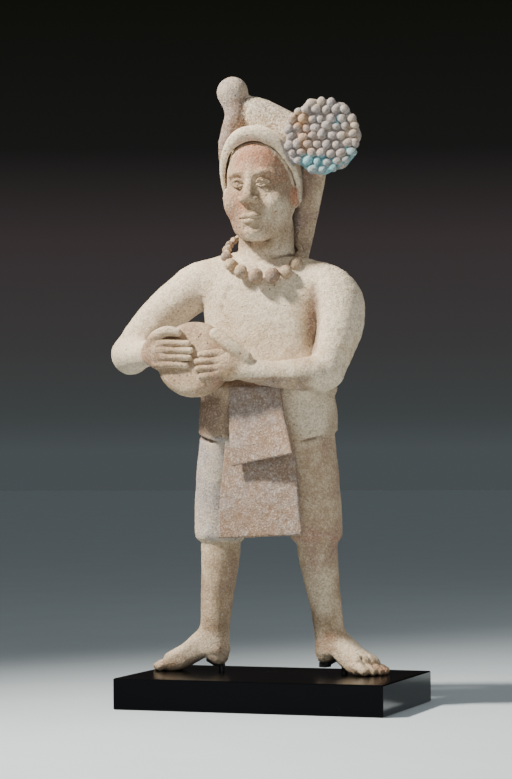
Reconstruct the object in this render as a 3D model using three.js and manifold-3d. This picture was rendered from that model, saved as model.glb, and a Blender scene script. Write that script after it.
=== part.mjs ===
// A standing terracotta statuette on a black display plinth, held by a steel mount under each heel.
// Millimetres, +Z up, front towards -Y. The origin is the middle of the plinth's underside.
// The clay figure is one fired piece: limbs, cap, headdress, beads, drum, cloths, hands and feet are
// lofted solids joined into one. It is drawn in a frame of its own that stands between the heels on
// the plinth's top: x towards the figure's left, y towards its back, z up.
import * as THREE from "three";
import { mergeVertices } from "three/addons/utils/BufferGeometryUtils.js";
import Module from "manifold-3d";

const wasm = await Module();
wasm.setup();

// Driving dimensions.
const plinth = { width: 134.5, depth: 79.4, height: 15, edge: 0.5 };
const figurePlace = new THREE.Vector3(-5, 8, plinth.height);
const contactGap = 0.3;
const sides = { trunk: 16, head: 14, limb: 9, leg: 10, roll: 7, finger: 5, pellet: 5 };

const at = (x, y, z) => new THREE.Vector3(x, y, z);
const turn = THREE.MathUtils.degToRad;

// Repeatable unevenness from -1 to 1, because the rows of pellets were set by hand.
const unevenness = (seed) => {
  const wave = Math.sin(seed * 127.1 + 11.7) * 437.5;
  return 2 * (wave - Math.floor(wave)) - 1;
};

// Closes a row of rings into a skin, with a fan over each end. The rings have equal numbers of
// points and run counter-clockwise as seen from the last one's side.
function loft(rings) {
  const count = rings[0].length;
  const points = rings.flat();
  const middle = (ring) => ring.reduce((sum, p) => sum.add(p), at(0, 0, 0)).divideScalar(count);
  const firstCap = points.push(middle(rings[0])) - 1;
  const lastCap = points.push(middle(rings[rings.length - 1])) - 1;
  const lastRing = (rings.length - 1) * count;
  const index = [];
  for (let side = 0; side < count; side++) {
    const next = (side + 1) % count;
    index.push(firstCap, next, side, lastCap, lastRing + side, lastRing + next);
    for (let low = 0; low < lastRing; low += count) {
      const high = low + count;
      index.push(low + side, low + next, high + next, low + side, high + next, high + side);
    }
  }
  const geometry = new THREE.BufferGeometry().setFromPoints(points);
  geometry.setIndex(index);
  return toSolid(geometry);
}

function toSolid(geometry) {
  const bare = geometry.clone();
  bare.deleteAttribute("normal");
  bare.deleteAttribute("uv");
  const { attributes, index } = mergeVertices(bare, 1e-4);
  return new wasm.Manifold(
    new wasm.Mesh({
      numProp: 3,
      vertProperties: new Float32Array(attributes.position.array),
      triVerts: new Uint32Array(index.array),
    }),
  );
}

const joinAll = (solids) => solids.reduce((sum, solid) => sum.add(solid));

function toMesh(name, solid, material) {
  const { numProp, vertProperties, triVerts } = solid.getMesh();
  const positions = new THREE.InterleavedBuffer(vertProperties, numProp);
  const geometry = new THREE.BufferGeometry();
  geometry.setAttribute("position", new THREE.InterleavedBufferAttribute(positions, 3, 0));
  geometry.setIndex(new THREE.BufferAttribute(triVerts, 1));
  const mesh = new THREE.Mesh(geometry, material);
  mesh.name = name;
  return mesh;
}

// Level rings stacked upwards: ovals that grow squarer as `square` rises over 2, that sink by `lean`
// for each millimetre towards the figure's left, and that rise by `sideRise` at both sides.
function stack(levels, count) {
  return loft(
    levels.map(({ x = 0, y = 0, z, wide, deep, square = 2, lean = 0, sideRise = 0 }) =>
      Array.from({ length: count }, (_, side) => {
        const angle = (side / count) * 2 * Math.PI;
        const [c, s] = [Math.cos(angle), Math.sin(angle)];
        const dx = wide * Math.sign(c) * Math.abs(c) ** (2 / square);
        const dy = deep * Math.sign(s) * Math.abs(s) ** (2 / square);
        return at(x + dx, y + dy, z - lean * dx + sideRise * (dx / wide) ** 2);
      }),
    ),
  );
}

// A limb, roll or strip along a path, with domed ends. A station is its place `p` and its half-sizes:
// `r` across and `flat` along the direction `up`, or `r` alone where it is round. The rings don't twist.
function sweep(stations, count, up = at(0, 0, 1)) {
  const last = stations.length - 1;
  const rings = [];
  const across = up.clone().cross(stations[1].p.clone().sub(stations[0].p));
  stations.forEach(({ p, r, flat = r }, index) => {
    const before = stations[Math.max(index - 1, 0)].p;
    const after = stations[Math.min(index + 1, last)].p;
    const along = after.clone().sub(before).normalize();
    across.addScaledVector(along, -across.dot(along)).normalize();
    const rise = along.clone().cross(across);
    const ring = (shift, share) =>
      Array.from({ length: count }, (_, side) => {
        const angle = (side / count) * 2 * Math.PI;
        return p
          .clone()
          .addScaledVector(along, shift)
          .addScaledVector(across, r * share * Math.cos(angle))
          .addScaledVector(rise, flat * share * Math.sin(angle));
      });
    const dome = 0.8 * Math.min(r, flat);
    if (index === 0) rings.push(ring(-dome, 0.55));
    rings.push(ring(0, 1));
    if (index === last) rings.push(ring(dome, 0.55));
  });
  return loft(rings);
}

// A ball or an egg with its poles up and down, turned about z.
function egg(place, halfSizes, [around, upward], heading = 0) {
  const geometry = new THREE.SphereGeometry(1, around, upward).rotateX(Math.PI / 2);
  geometry.scale(...halfSizes).rotateZ(heading).translate(place.x, place.y, place.z);
  return toSolid(geometry);
}

// A sheet of clay `thick` from front to back, given by level rows from its bottom to its top. A row
// runs from x `left` to `right` at depth y, bows forward by `bow`, and rises by `slope` and comes
// forward by `flare` to the right.
function sheet(rows, thick) {
  const steps = 4;
  return loft(
    rows.map(({ z, left, right, y, bow = 0, slope = 0, flare = 0 }) => {
      const edge = (depth) =>
        Array.from({ length: steps + 1 }, (_, step) => {
          const share = step / steps;
          const forward = 4 * bow * share * (1 - share) + flare * share ** 1.5;
          return at(left + (right - left) * share, y - forward + depth, z + slope * share);
        });
      return [...edge(0), ...edge(thick).reverse()];
    }),
  );
}

// The trunk, from the hips to the shoulders, and the neck set on it. The left shoulder is lower.
const shoulderLean = 0.09;
const trunk = [
  { z: 99, wide: 26, deep: 13, y: 1 },
  { z: 110, wide: 32, deep: 17.4, y: 0.5 },
  { z: 126, wide: 33, deep: 18.6 },
  { z: 141, wide: 31.8, deep: 18.5 },
  { z: 153, wide: 30.5, deep: 18, square: 2.1 },
  { z: 166, wide: 31, deep: 17.3, square: 2.2, lean: 0.02 },
  { z: 178, wide: 32.5, deep: 16.5, y: 0.5, square: 2.3, lean: 0.05 },
  { z: 187, wide: 33, deep: 15.8, y: 1, square: 2.2, lean: shoulderLean },
  { z: 194.5, wide: 31, deep: 14.8, y: 1.5, lean: shoulderLean },
  { z: 201, wide: 24, deep: 11.8, y: 1.6, lean: shoulderLean },
  { z: 203.4, wide: 19, deep: 9.4, y: 1.6, lean: shoulderLean },
  { z: 204.6, wide: 14, deep: 7.6, y: 1.6, lean: shoulderLean },
];
const neck = [
  { z: 194, wide: 14.6, deep: 10.8 },
  { z: 204, wide: 14.2, deep: 10.4 },
  { z: 211, wide: 13.8, deep: 10.8 },
  { z: 220, wide: 13.4, deep: 12 },
];

// The head without its face, from the chin to the crown.
const headMiddle = -0.6;
const skull = [
  { z: 209.5, wide: 5.5, deep: 4.5, y: -15.2 },
  { z: 212.5, wide: 9.8, deep: 8.8, y: -12 },
  { z: 218, wide: 13.6, deep: 14, y: -8 },
  { z: 226, wide: 16.2, deep: 17.2, y: -5 },
  { z: 236, wide: 17.2, deep: 19.6, y: -3 },
  { z: 246, wide: 16.8, deep: 20, y: -2 },
  { z: 254, wide: 14.8, deep: 18.2, y: -1.5 },
  { z: 262, wide: 8, deep: 11, y: -1 },
].map((level) => ({ x: headMiddle, ...level }));

// The face is a general one: heights by the usual thirds from hairline to chin, and the same both sides.
const face = { front: -22, brows: 241.5, eyes: 237, noseBase: 227.5, mouth: 219.8, chin: 213 };

function makeFace() {
  const spot = (x, back, z) => at(headMiddle + x, face.front + back, z);
  const nose = [
    { p: spot(0, 0.4, face.brows - 1.5), r: 1.6 },
    { p: spot(0, -1.4, face.eyes - 4), r: 2 },
    { p: spot(0, -3, face.noseBase + 2), r: 2.6 },
  ];
  const pieces = [sweep(nose, 7, at(0, -1, 0)), egg(spot(0, 3.8, face.chin), [5, 4, 3.8], [6, 4])];
  for (const z of [face.mouth + 1.3, face.mouth - 1.4]) {
    const lip = [
      { p: spot(-4.8, 1.4, z), r: 0.9 },
      { p: spot(0, -0.4, z), r: 1.5 },
      { p: spot(4.8, 1.4, z), r: 0.9 },
    ];
    pieces.push(sweep(lip, 4));
  }
  for (const side of [-1, 1]) {
    const brow = [
      { p: spot(side * 2.2, 0.2, face.brows), r: 1.1 },
      { p: spot(side * 6.5, 0.7, face.brows + 0.9), r: 1.3 },
      { p: spot(side * 11, 3.6, face.brows - 0.6), r: 0.9 },
    ];
    pieces.push(
      sweep(brow, 4),
      egg(spot(side * 2.8, -1, face.noseBase + 1.1), [1.8, 2.2, 1.6], [6, 4]),
      egg(spot(side * 6.3, 1.9, face.eyes), [3.5, 2, 1.8], [6, 4]),
      egg(spot(side * 9.8, 8, face.noseBase), [6.4, 6.6, 7.5], [6, 4]),
      egg(spot(side * 17.2, 17.5, face.noseBase + 3.6), [2, 3.8, 5.4], [6, 4]),
    );
  }
  return pieces;
}

// The close cap: a shell over the crown, cut off in front by a leaning plane, and a rolled brim there.
const brim = { top: at(headMiddle, -19.2, 261), side: at(17.4, -5.4, 237), width: 8, flat: 2.4 };
const cap = [
  { z: 227, wide: 17.2, deep: 19.4, y: -1 },
  { z: 233, wide: 18.7, deep: 21.6, y: -1.6 },
  { z: 241, wide: 19.1, deep: 22.6, y: -2 },
  { z: 249.5, wide: 18.2, deep: 21.8, y: -1.6 },
  { z: 257, wide: 15.4, deep: 18.4, y: -1.4 },
  { z: 263, wide: 10.6, deep: 13, y: -1.4 },
  { z: 267, wide: 4.6, deep: 6, y: -1.6 },
].map((level) => ({ x: headMiddle, ...level }));

function makeCap() {
  const { top, side, width, flat } = brim;
  const lean = Math.atan2(side.y - top.y, top.z - side.z);
  const opening = new THREE.BoxGeometry(60, 40, 90).translate(0, -20, 0).rotateX(lean);
  opening.translate(top.x, top.y, top.z);
  const stations = [-108, -80, -54, -28, 0, 28, 54, 80, 108].map((degrees) => {
    const drop = 1 - Math.cos(turn(degrees));
    const narrowing = 1 - 0.45 * Math.min(drop, 1);
    const p = top.clone().lerp(at(top.x, side.y, side.z), drop);
    p.x += (side.x - top.x) * Math.sin(turn(degrees));
    return { p, r: (width / 2) * narrowing, flat: flat * narrowing };
  });
  return [
    stack(cap, sides.trunk).subtract(toSolid(opening)),
    sweep(stations, 7, at(0, -0.87, -0.5)),
  ];
}

// The headdress: a strand up the cap's right side to a knob, a stuffed roll from there over the crown
// to the rosette, and a tail that hangs from the rosette behind the neck.
const knob = { p: at(-15, -6, 283.2), r: 7.8 };
const strand = [
  { p: at(-19.6, -6, 245.5), r: 1.4 },
  { p: at(-19.4, -7, 251.5), r: 2.6 },
  { p: at(-17.6, -7.5, 258.5), r: 4.1 },
  { p: at(-15, -7.5, 265), r: 4.9 },
  { p: at(-12.9, -7, 271.5), r: 5.4 },
  { p: at(-13.4, -6.2, 278), r: 6.3 },
];
const roll = [
  { p: at(-9.5, -3, 275), r: 7.2 },
  { p: at(-2, -2, 271.4), r: 8.6 },
  { p: at(7, -1, 267), r: 8.6 },
  { p: at(16, -1, 262.6), r: 8 },
  { p: at(24, -2.5, 260), r: 7.2 },
  { p: at(30, -5, 259.4), r: 6.2 },
];
const tail = [
  { p: at(27.6, -3, 256), r: 6.8, flat: 3.4 },
  { p: at(24.6, 2, 243.5), r: 6.6, flat: 3.2 },
  { p: at(20.8, 6.5, 231), r: 6, flat: 3 },
  { p: at(17.6, 9.6, 218), r: 5, flat: 2.7 },
  { p: at(15.6, 9.6, 206), r: 3.8, flat: 2.4 },
  { p: at(15.4, 7, 197), r: 3, flat: 2.2 },
];

// A second strip close behind the neck.
const innerFold = [
  { p: at(20, 2, 247), r: 4.5, flat: 2.6 },
  { p: at(16.8, 6.5, 233), r: 4.6, flat: 2.5 },
  { p: at(14.2, 9.5, 219), r: 4.4, flat: 2.4 },
  { p: at(13.2, 8.5, 203), r: 3.2, flat: 2.1 },
];

// The rosette: a thick disc with an uneven edge, and pellets pressed on in offset rows.
const rosette = { p: at(32.8, -9.6, 258.8), radius: 17.6, thick: 4.2, heading: turn(10) };
const pellet = { r: 2.4, pitch: 6.2, jitter: 0.5, reach: 17.2 };

function makeRosette() {
  const { p: place, radius, thick, heading } = rosette;
  const rim = Array.from({ length: 24 }, (_, index) => {
    const reach = radius + 0.6 * unevenness(index + 3);
    const angle = (index / 24) * 2 * Math.PI;
    return new THREE.Vector2(reach * Math.cos(angle), reach * Math.sin(angle));
  });
  const bevel = { bevelSize: 1, bevelThickness: 1, bevelOffset: -1, bevelSegments: 1 };
  const disc = new THREE.ExtrudeGeometry(new THREE.Shape(rim), { depth: thick - 2, ...bevel });
  const toPlace = new THREE.Matrix4().makeRotationZ(heading);
  toPlace.multiply(new THREE.Matrix4().makeRotationX(Math.PI / 2)).setPosition(place);
  const solids = [toSolid(disc.applyMatrix4(toPlace))];
  const rowPitch = pellet.pitch * Math.sin(Math.PI / 3);
  const rows = Math.ceil(radius / rowPitch);
  for (let row = -rows; row <= rows; row++) {
    for (let column = -rows; column <= rows; column++) {
      const seed = row * 31 + column * 7;
      let x = (column + (row % 2) / 2) * pellet.pitch + pellet.jitter * unevenness(seed);
      let y = row * rowPitch + pellet.jitter * unevenness(seed + 0.5);
      const away = Math.hypot(x, y);
      if (away > pellet.reach + 0.3 * pellet.pitch) continue;
      const pull = Math.min(1, pellet.reach / away); // those past the rim are set on it
      [x, y] = [pull * x, pull * y];
      const r = pellet.r * (1 + 0.1 * unevenness(seed + 0.25));
      const profile = [[0, -0.5], [1.05 * r, -0.2], [0.82 * r, 1.2], [0, 2]];
      const bump = new THREE.LatheGeometry(profile.map(([w, h]) => new THREE.Vector2(w, h)), sides.pellet);
      bump.rotateX(Math.PI / 2).translate(x, y, thick - 1).applyMatrix4(toPlace);
      solids.push(toSolid(bump));
    }
  }
  return solids;
}

// The necklace lies on the chest and climbs behind the neck, where only its cord shows. A bead is
// its angle round the neck, in degrees from the front towards the figure's left, and its radius.
const necklace = { x: -1, y: -1.6, z: 204.2, wide: 19.2, deep: 15.2, drop: 11.6, lean: 4.1, yaw: 2.4 };
const cord = { r: 1.3, from: 84, to: 290, steps: 7 };
const beads = [
  [-121, 1.8], [-108, 1.9], [-95, 2.1], [-82, 2.4], [-64, 2.9], [-43, 3.2], [-19, 3.5], [6, 3.8],
  [31, 3.8], [54, 3.3], [78, 3.8], [101, 2.8],
];

function necklacePoint(angle) {
  const { x, y, z, wide, deep, drop, lean, yaw } = necklace;
  const [c, s] = [Math.cos(angle), Math.sin(angle)];
  return at(x + wide * s, y - deep * c - yaw * s, z - drop * c - lean * s);
}

function makeNecklace() {
  const stations = Array.from({ length: cord.steps + 1 }, (_, step) => {
    const degrees = cord.from + ((cord.to - cord.from) * step) / cord.steps;
    return { p: necklacePoint(turn(degrees)), r: cord.r };
  });
  const balls = beads.map(([degrees, r]) =>
    egg(necklacePoint(turn(degrees)), [r, r, r], r > 2.5 ? [6, 4] : [5, 3]),
  );
  return [sweep(stations, 4), ...balls];
}

// The arms. The right elbow is out to the side; the left forearm lies across the belly.
const arms = [
  [
    { p: at(-25, 0.5, 193), r: 9.9 },
    { p: at(-34, 0, 190.2), r: 11.4 },
    { p: at(-44.3, 0, 183.8), r: 11 },
    { p: at(-57, 0, 173.8), r: 10.5 },
    { p: at(-67.2, 0.5, 163.6), r: 9.9 },
    { p: at(-73.5, 1, 156.6), r: 9.3 },
  ],
  [
    { p: at(-74, 0.5, 155.8), r: 9.2 },
    { p: at(-66.5, -9, 155.8), r: 8 },
    { p: at(-57.5, -18.6, 155.8), r: 6.7 },
    { p: at(-50, -27.6, 155.8), r: 5.6, flat: 6.2 },
  ],
  [
    { p: at(22, 0.5, 192), r: 8.4 },
    { p: at(31.5, -1, 187.5), r: 10.6 },
    { p: at(37.6, -2, 179.8), r: 12 },
    { p: at(39.2, -4, 170.5), r: 11.4 },
    { p: at(36.7, -7, 157), r: 9.8 },
    { p: at(34, -10, 147), r: 8.6 },
  ],
  [
    { p: at(33.2, -10.6, 145.6), r: 8.9 },
    { p: at(24.5, -19.4, 144.2), r: 7.9 },
    { p: at(12, -26.6, 144.6), r: 6.1 },
    { p: at(1, -31, 146.4), r: 5.2, flat: 5.6 },
  ],
];

// The drum: a thick round cushion whose face looks forward and a little up.
const drum = { p: at(-27.4, -27.6, 152), radius: 18.2, half: 7, tilt: turn(8) };

function makeDrum() {
  const { p, radius, half, tilt } = drum;
  const profile = [
    [0, -half],
    [0.8 * radius, 0.9 - half],
    [radius, 3.4 - half],
    [radius, half - 3.6],
    [0.9 * radius, half - 1],
    [0.7 * radius, half],
    [0, half],
  ];
  const cushion = new THREE.LatheGeometry(profile.map(([r, h]) => new THREE.Vector2(r, h)), sides.trunk);
  return toSolid(cushion.rotateX(Math.PI - tilt).translate(p.x, p.y, p.z));
}

// A hand: a palm, four fingers side by side on the drum, and a thumb above them.
const fingerPitch = 3.4;
const hands = [
  {
    palm: at(-45, -33, 155.6),
    palmSize: [7.4, 4.2, 7.4],
    palmHeading: turn(-28),
    knuckles: at(-41.5, -36.6, 155),
    toTips: -0.6,
    fingers: [13.8, 15.2, 14.6, 13],
    fingerRadius: 1.75,
    thumb: [
      { p: at(-49, -31.6, 158.5), r: 3.1 },
      { p: at(-44.6, -34.4, 163.2), r: 2.9 },
      { p: at(-39, -35, 165.6), r: 2.7 },
      { p: at(-33.4, -34.6, 165), r: 2.2 },
    ],
  },
  {
    palm: at(-7.6, -34.4, 148.4),
    palmSize: [8.4, 4.2, 7.2],
    palmHeading: turn(12),
    knuckles: at(-13, -36.8, 149.6),
    toTips: -0.6,
    fingers: [-8.2, -9.8, -9.6, -8],
    fingerRadius: 1.85,
    thumb: [
      { p: at(0.6, -33, 152), r: 3.2 },
      { p: at(-4.6, -34.2, 157.4), r: 3 },
      { p: at(-10.4, -34.6, 162.8), r: 2.4 },
    ],
  },
];

function makeHand({ palm, palmSize, palmHeading, knuckles, toTips, fingers, fingerRadius, thumb }) {
  const solids = [egg(palm, palmSize, [6, 5], palmHeading), sweep(thumb, sides.finger)];
  fingers.forEach((reach, index) => {
    const row = 1.5 - index;
    const base = knuckles.clone().add(at(0, 0.5 * Math.abs(row), fingerPitch * row));
    const tip = base.clone().add(at(reach, toTips, 0));
    const finger = [
      { p: base, r: fingerRadius },
      { p: tip, r: 0.86 * fingerRadius },
    ];
    solids.push(sweep(finger, sides.finger));
  });
  return solids;
}

// The hip cloth turns in at its hem. Two apron sheets hang in front of it from under the forearm.
const hipCloth = [
  { z: 110.4, wide: 33, deep: 18.6, y: 0.5, sideRise: 6 },
  { z: 111, wide: 34.4, deep: 20.2, y: 0.2, lean: -0.02, sideRise: 6 },
  { z: 113.4, wide: 34.9, deep: 21, y: 0.2, lean: -0.02, sideRise: 6 },
  { z: 121, wide: 35, deep: 21, sideRise: 6 },
  { z: 131, wide: 33.9, deep: 20.2, sideRise: 3.7 },
  { z: 141.5, wide: 32.4, deep: 19.6 },
  { z: 142.8, wide: 30.2, deep: 17.4 },
];
const apronThick = 2.4;
const longSheet = [
  { z: 66, left: -16.8, right: 25.8, y: -25.6, slope: 1.8 },
  { z: 90, left: -16, right: 23, y: -24.2, bow: 0.4, slope: 1 },
  { z: 112, left: -14.8, right: 20.4, y: -21, bow: 0.8 },
  { z: 139, left: -13.4, right: 16.4, y: -16, bow: 0.8 },
];
const shortSheet = [
  { z: 100.4, left: -8.6, right: 24.4, y: -28.6, bow: 0.3, slope: 7, flare: 4.5 },
  { z: 112, left: -9.8, right: 21.4, y: -27.4, bow: 0.8, slope: 2, flare: 2.4 },
  { z: 124, left: -10.8, right: 17.8, y: -26, bow: 1, flare: 0.8 },
  { z: 139, left: -11.4, right: 14.6, y: -23.8, bow: 0.8 },
];

// A leg is a legging over thigh and knee, a bare shin that leans out to the ankle, and a foot.
const legs = [
  {
    side: -1,
    shin: [[-29, 2], [-29, 2], [-27.8, 1.5], [-26.4, 1], [-25.4, 1], [-25.2, 1]],
    leggingX: [-25.4, -25.4, -25.2, -24.4, -22.6, -19.9, -18.4],
    foot: {
      heel: at(-22.4, 2.6, 0), heading: turn(181), toBigToe: 1, heelLift: 0,
      soles: [6, 4, 3.9, 6.4, 4, 0.8, -0.4, -0.4, 0],
    },
  },
  {
    side: 1,
    shin: [[28.6, 6.4], [28.6, 6], [27.4, 4.6], [25.8, 2.8], [24.6, 1.4], [24.4, 1.2]],
    leggingX: [24, 24, 23.8, 23, 21.2, 18.8, 18],
    foot: {
      heel: at(22.2, 8.6, 0), heading: turn(-16), toBigToe: -1, heelLift: 1.5,
      soles: [6, 4, 3.9, 6.2, 2.2, -0.2, -0.4, -0.4, 0],
    },
  },
];
const shinSizes = [
  { z: 10, wide: 6.6, deep: 6 },
  { z: 20, wide: 7.3, deep: 6.8 },
  { z: 33, wide: 7.8, deep: 7.6 },
  { z: 47, wide: 8.7, deep: 8.7 },
  { z: 60, wide: 9.7, deep: 9.6 },
  { z: 68, wide: 9.8, deep: 9.6 },
];
const legging = [
  { y: 1, z: 63.2, wide: 10.4, deep: 10.2 },
  { y: 1, z: 65.4, wide: 12, deep: 11.6 },
  { y: 1, z: 73, wide: 12.8, deep: 12.4 },
  { y: 0.8, z: 85, wide: 13.1, deep: 13.2 },
  { y: 0.6, z: 98, wide: 13.8, deep: 14.8 },
  { y: 0.5, z: 112, wide: 14.8, deep: 16.4 },
  { y: 0.5, z: 124, wide: 15.2, deep: 16.6 },
];

// A foot's top heights and half-widths, at distances from the back of the heel. The soles come down
// to the plinth only at the ball, and the left heel is lifted further.
const footShape = [
  { s: 0.2, top: 13, half: 2.6 },
  { s: 2.2, top: 18, half: 5 },
  { s: 6.5, top: 21, half: 6.2 },
  { s: 11, top: 22, half: 6.4 },
  { s: 17, top: 18.6, half: 6.8 },
  { s: 23, top: 13.6, half: 7.8 },
  { s: 29, top: 10, half: 8.8 },
  { s: 34, top: 7, half: 9 },
  { s: 35.6, top: 5, half: 8.4 },
];
const toes = { radii: [2.6, 2.2, 2.1, 2, 1.9], pitch: 3.7, reach: 35.2 };

// The height of a foot's sole at a distance from the back of its heel.
function soleHeight({ soles, heelLift }, s) {
  const next = Math.max(1, footShape.findIndex((ring) => ring.s >= s));
  const [from, to] = [footShape[next - 1].s, footShape[next].s];
  const sole = THREE.MathUtils.mapLinear(s, from, to, soles[next - 1], soles[next]);
  return sole + heelLift * THREE.MathUtils.clamp((26 - s) / 16, 0, 1);
}

// The point of a foot at a distance from the back of its heel and from its middle line.
function footSpot({ heel, heading }, s, sideways, z) {
  const [c, d] = [Math.cos(heading), Math.sin(heading)];
  return at(heel.x + s * c - sideways * d, heel.y + s * d + sideways * c, z);
}

function makeFoot(foot) {
  const rings = footShape.map(({ s, top, half }) => {
    const bottom = soleHeight(foot, s);
    return Array.from({ length: sides.limb }, (_, side) => {
      const angle = (side / sides.limb) * 2 * Math.PI;
      const rise = Math.sign(Math.sin(angle)) * Math.abs(Math.sin(angle)) ** 0.75;
      return footSpot(foot, s, half * Math.cos(angle), (top + bottom + (top - bottom) * rise) / 2);
    });
  });
  const toeSolids = toes.radii.map((r, toe) => {
    const sideways = foot.toBigToe * (6.8 - toe * toes.pitch);
    const place = footSpot(foot, toes.reach - 0.3 * toe ** 2, sideways, 0.8 * r);
    return egg(place, [1.3 * r, 0.97 * r, 0.95 * r], [5, 4], foot.heading);
  });
  return [loft(rings), ...toeSolids];
}

function makeLeg({ shin, leggingX, foot }) {
  const shinLevels = shinSizes.map((size, index) => {
    const [x, y] = shin[index];
    return { x, y, ...size };
  });
  const leggingLevels = legging.map((level, index) => ({ ...level, x: leggingX[index] }));
  return [stack(leggingLevels, sides.leg), stack(shinLevels, sides.leg), ...makeFoot(foot)];
}

// The whole figure, cut flat where the soles stand on the plinth.
function makeFigure() {
  const below = new THREE.BoxGeometry(200, 200, 20).translate(0, 0, -10);
  return joinAll([
    stack(trunk, sides.trunk),
    stack(neck, 9),
    stack(skull, sides.head),
    ...makeFace(),
    ...makeCap(),
    sweep(strand, sides.roll),
    egg(knob.p, [knob.r, knob.r, knob.r], [10, 6]),
    sweep(roll, sides.limb),
    sweep(tail, sides.roll, at(0.3, 1, 0)),
    sweep(innerFold, 6, at(0.3, 1, 0)),
    ...makeRosette(),
    ...makeNecklace(),
    ...arms.map((stations) => sweep(stations, sides.limb)),
    makeDrum(),
    ...hands.flatMap(makeHand),
    stack(hipCloth, sides.trunk),
    sheet(longSheet, apronThick),
    sheet(shortSheet, apronThick),
    ...legs.flatMap(makeLeg),
  ]).subtract(toSolid(below));
}

// The plinth: a plain block with its edges just broken.
function makePlinth() {
  const { width, depth, height, edge } = plinth;
  const outline = new THREE.Shape([
    new THREE.Vector2(-width / 2, -depth / 2),
    new THREE.Vector2(width / 2, -depth / 2),
    new THREE.Vector2(width / 2, depth / 2),
    new THREE.Vector2(-width / 2, depth / 2),
  ]);
  const bevel = { bevelSize: edge, bevelThickness: edge, bevelOffset: -edge, bevelSegments: 1 };
  const block = new THREE.ExtrudeGeometry(outline, { depth: height - 2 * edge, ...bevel });
  return toSolid(block.translate(0, 0, edge));
}

// A mount: a pin standing on the plinth, and a strap from it along the underside of the foot, a
// hair's distance below the clay. The right pin is under the heel. The left strap starts with a pad
// under its heel and runs on to a pin near the ball of the foot.
const mounts = {
  right: {
    pin: { r: 1.4, s: 3.4, sideways: 0 },
    strap: [
      { s: 2.2, wide: 3, thick: 1.2 }, { s: 6.5, wide: 3, thick: 1.2 }, { s: 11, wide: 3, thick: 1.2 },
    ],
  },
  left: {
    pin: { r: 1.4, s: 14.4, sideways: 1.2 },
    strap: [
      { s: 2.2, wide: 5.4, thick: 2.4 }, { s: 5.6, wide: 5.4, thick: 2.4 }, { s: 6.5, wide: 3, thick: 1.2 },
      { s: 11, wide: 3, thick: 1.2 }, { s: 15.4, wide: 3, thick: 1.2 },
    ],
  },
};

function makeMount(foot, { pin, strap }) {
  const strapTop = (s) => soleHeight(foot, s) - contactGap;
  const corners = [[-1, -1], [1, -1], [1, 0], [-1, 0]];
  const rings = strap.map(({ s, wide, thick }) =>
    corners.map(([sideways, down]) => footSpot(foot, s, (sideways * wide) / 2, strapTop(s) + down * thick)),
  );
  const top = footSpot(foot, pin.s, pin.sideways, strapTop(pin.s) - 0.8);
  const post = new THREE.CylinderGeometry(pin.r, pin.r, top.z, 10).rotateX(Math.PI / 2);
  return loft(rings).add(toSolid(post.translate(top.x, top.y, top.z / 2)));
}

const clay = new THREE.MeshStandardMaterial({ color: 0xcdbb9e, roughness: 0.9, metalness: 0 });
const glossBlack = new THREE.MeshStandardMaterial({ color: 0x0a0a0b, roughness: 0.15 });
const blackSteel = new THREE.MeshStandardMaterial({ color: 0x101010, roughness: 0.5, metalness: 0.6 });

const figure = new THREE.Group();
figure.position.copy(figurePlace);
figure.add(
  toMesh("terracotta_figure", makeFigure(), clay),
  toMesh("mount_right_heel", makeMount(legs[0].foot, mounts.right), blackSteel),
  toMesh("mount_left_heel", makeMount(legs[1].foot, mounts.left), blackSteel),
);

const statuette = new THREE.Group();
statuette.add(figure, toMesh("plinth", makePlinth(), glossBlack));
export default statuette;
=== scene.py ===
# Looks of the terracotta statuette on its black plinth. The clay figure is worked up as one lump of
# signed distances, skinned, and painted with procedural slip, ochre, blue and dust, with painted shade
# in its hollows and creases and some parts painted darker or lighter for the light that falls on them;
# the beads and the rosette's pellets are Geometry Nodes. Sizes are mm in the figure's own frame, which
# stands between the heels on the plinth's top: x to the figure's left, y to its back, z up.
import math

import bpy
import numpy as np
import openvdb
from mathutils import Euler, Matrix, Vector


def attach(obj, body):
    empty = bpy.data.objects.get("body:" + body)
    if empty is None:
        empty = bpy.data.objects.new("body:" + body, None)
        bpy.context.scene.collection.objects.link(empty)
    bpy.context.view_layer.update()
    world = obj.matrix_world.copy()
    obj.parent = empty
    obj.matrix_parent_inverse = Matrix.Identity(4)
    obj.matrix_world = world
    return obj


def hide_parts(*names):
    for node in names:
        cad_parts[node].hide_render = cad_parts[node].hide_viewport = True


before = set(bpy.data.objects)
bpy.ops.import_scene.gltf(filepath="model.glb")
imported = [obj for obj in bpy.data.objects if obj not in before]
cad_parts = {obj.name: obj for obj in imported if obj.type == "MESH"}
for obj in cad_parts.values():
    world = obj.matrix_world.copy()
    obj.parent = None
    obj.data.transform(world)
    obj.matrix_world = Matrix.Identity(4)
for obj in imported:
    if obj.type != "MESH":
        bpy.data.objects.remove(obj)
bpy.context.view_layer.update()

mm = 0.001
figurePlace = Vector((-5, 8, 15))  # the figure's frame in the row frame
print("scene: frame loaded, quick =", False)


def addObject(name, data):
    made = bpy.data.objects.new(name, data)
    bpy.context.scene.collection.objects.link(made)
    return made


# Camera: long lens, a little below the middle, turned towards the figure's left side.
camera = {
    "place": (0.40482, -1.14075, 0.12353),
    "right": (0.94021, 0.34053, -0.00715),
    "up": (0.01493, -0.02021, 0.99968),
    "focal": 2500, "pictureHeight": 779,  # both in pixels
    "sensor": 36,  # mm along the picture's long side
    "clip": (0.05, 30),
}
lens = bpy.data.cameras.new("camera")
lens.sensor_width = camera["sensor"]
lens.lens = camera["focal"] / camera["pictureHeight"] * camera["sensor"]
lens.clip_start, lens.clip_end = camera["clip"]
cameraObject = addObject("camera", lens)
right, up = Vector(camera["right"]), Vector(camera["up"])
toCamera = right.cross(up)
turned = Matrix((right, up, toCamera)).transposed().to_4x4()
cameraObject.matrix_world = Matrix.Translation(camera["place"]) @ turned
bpy.context.scene.camera = cameraObject


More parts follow.
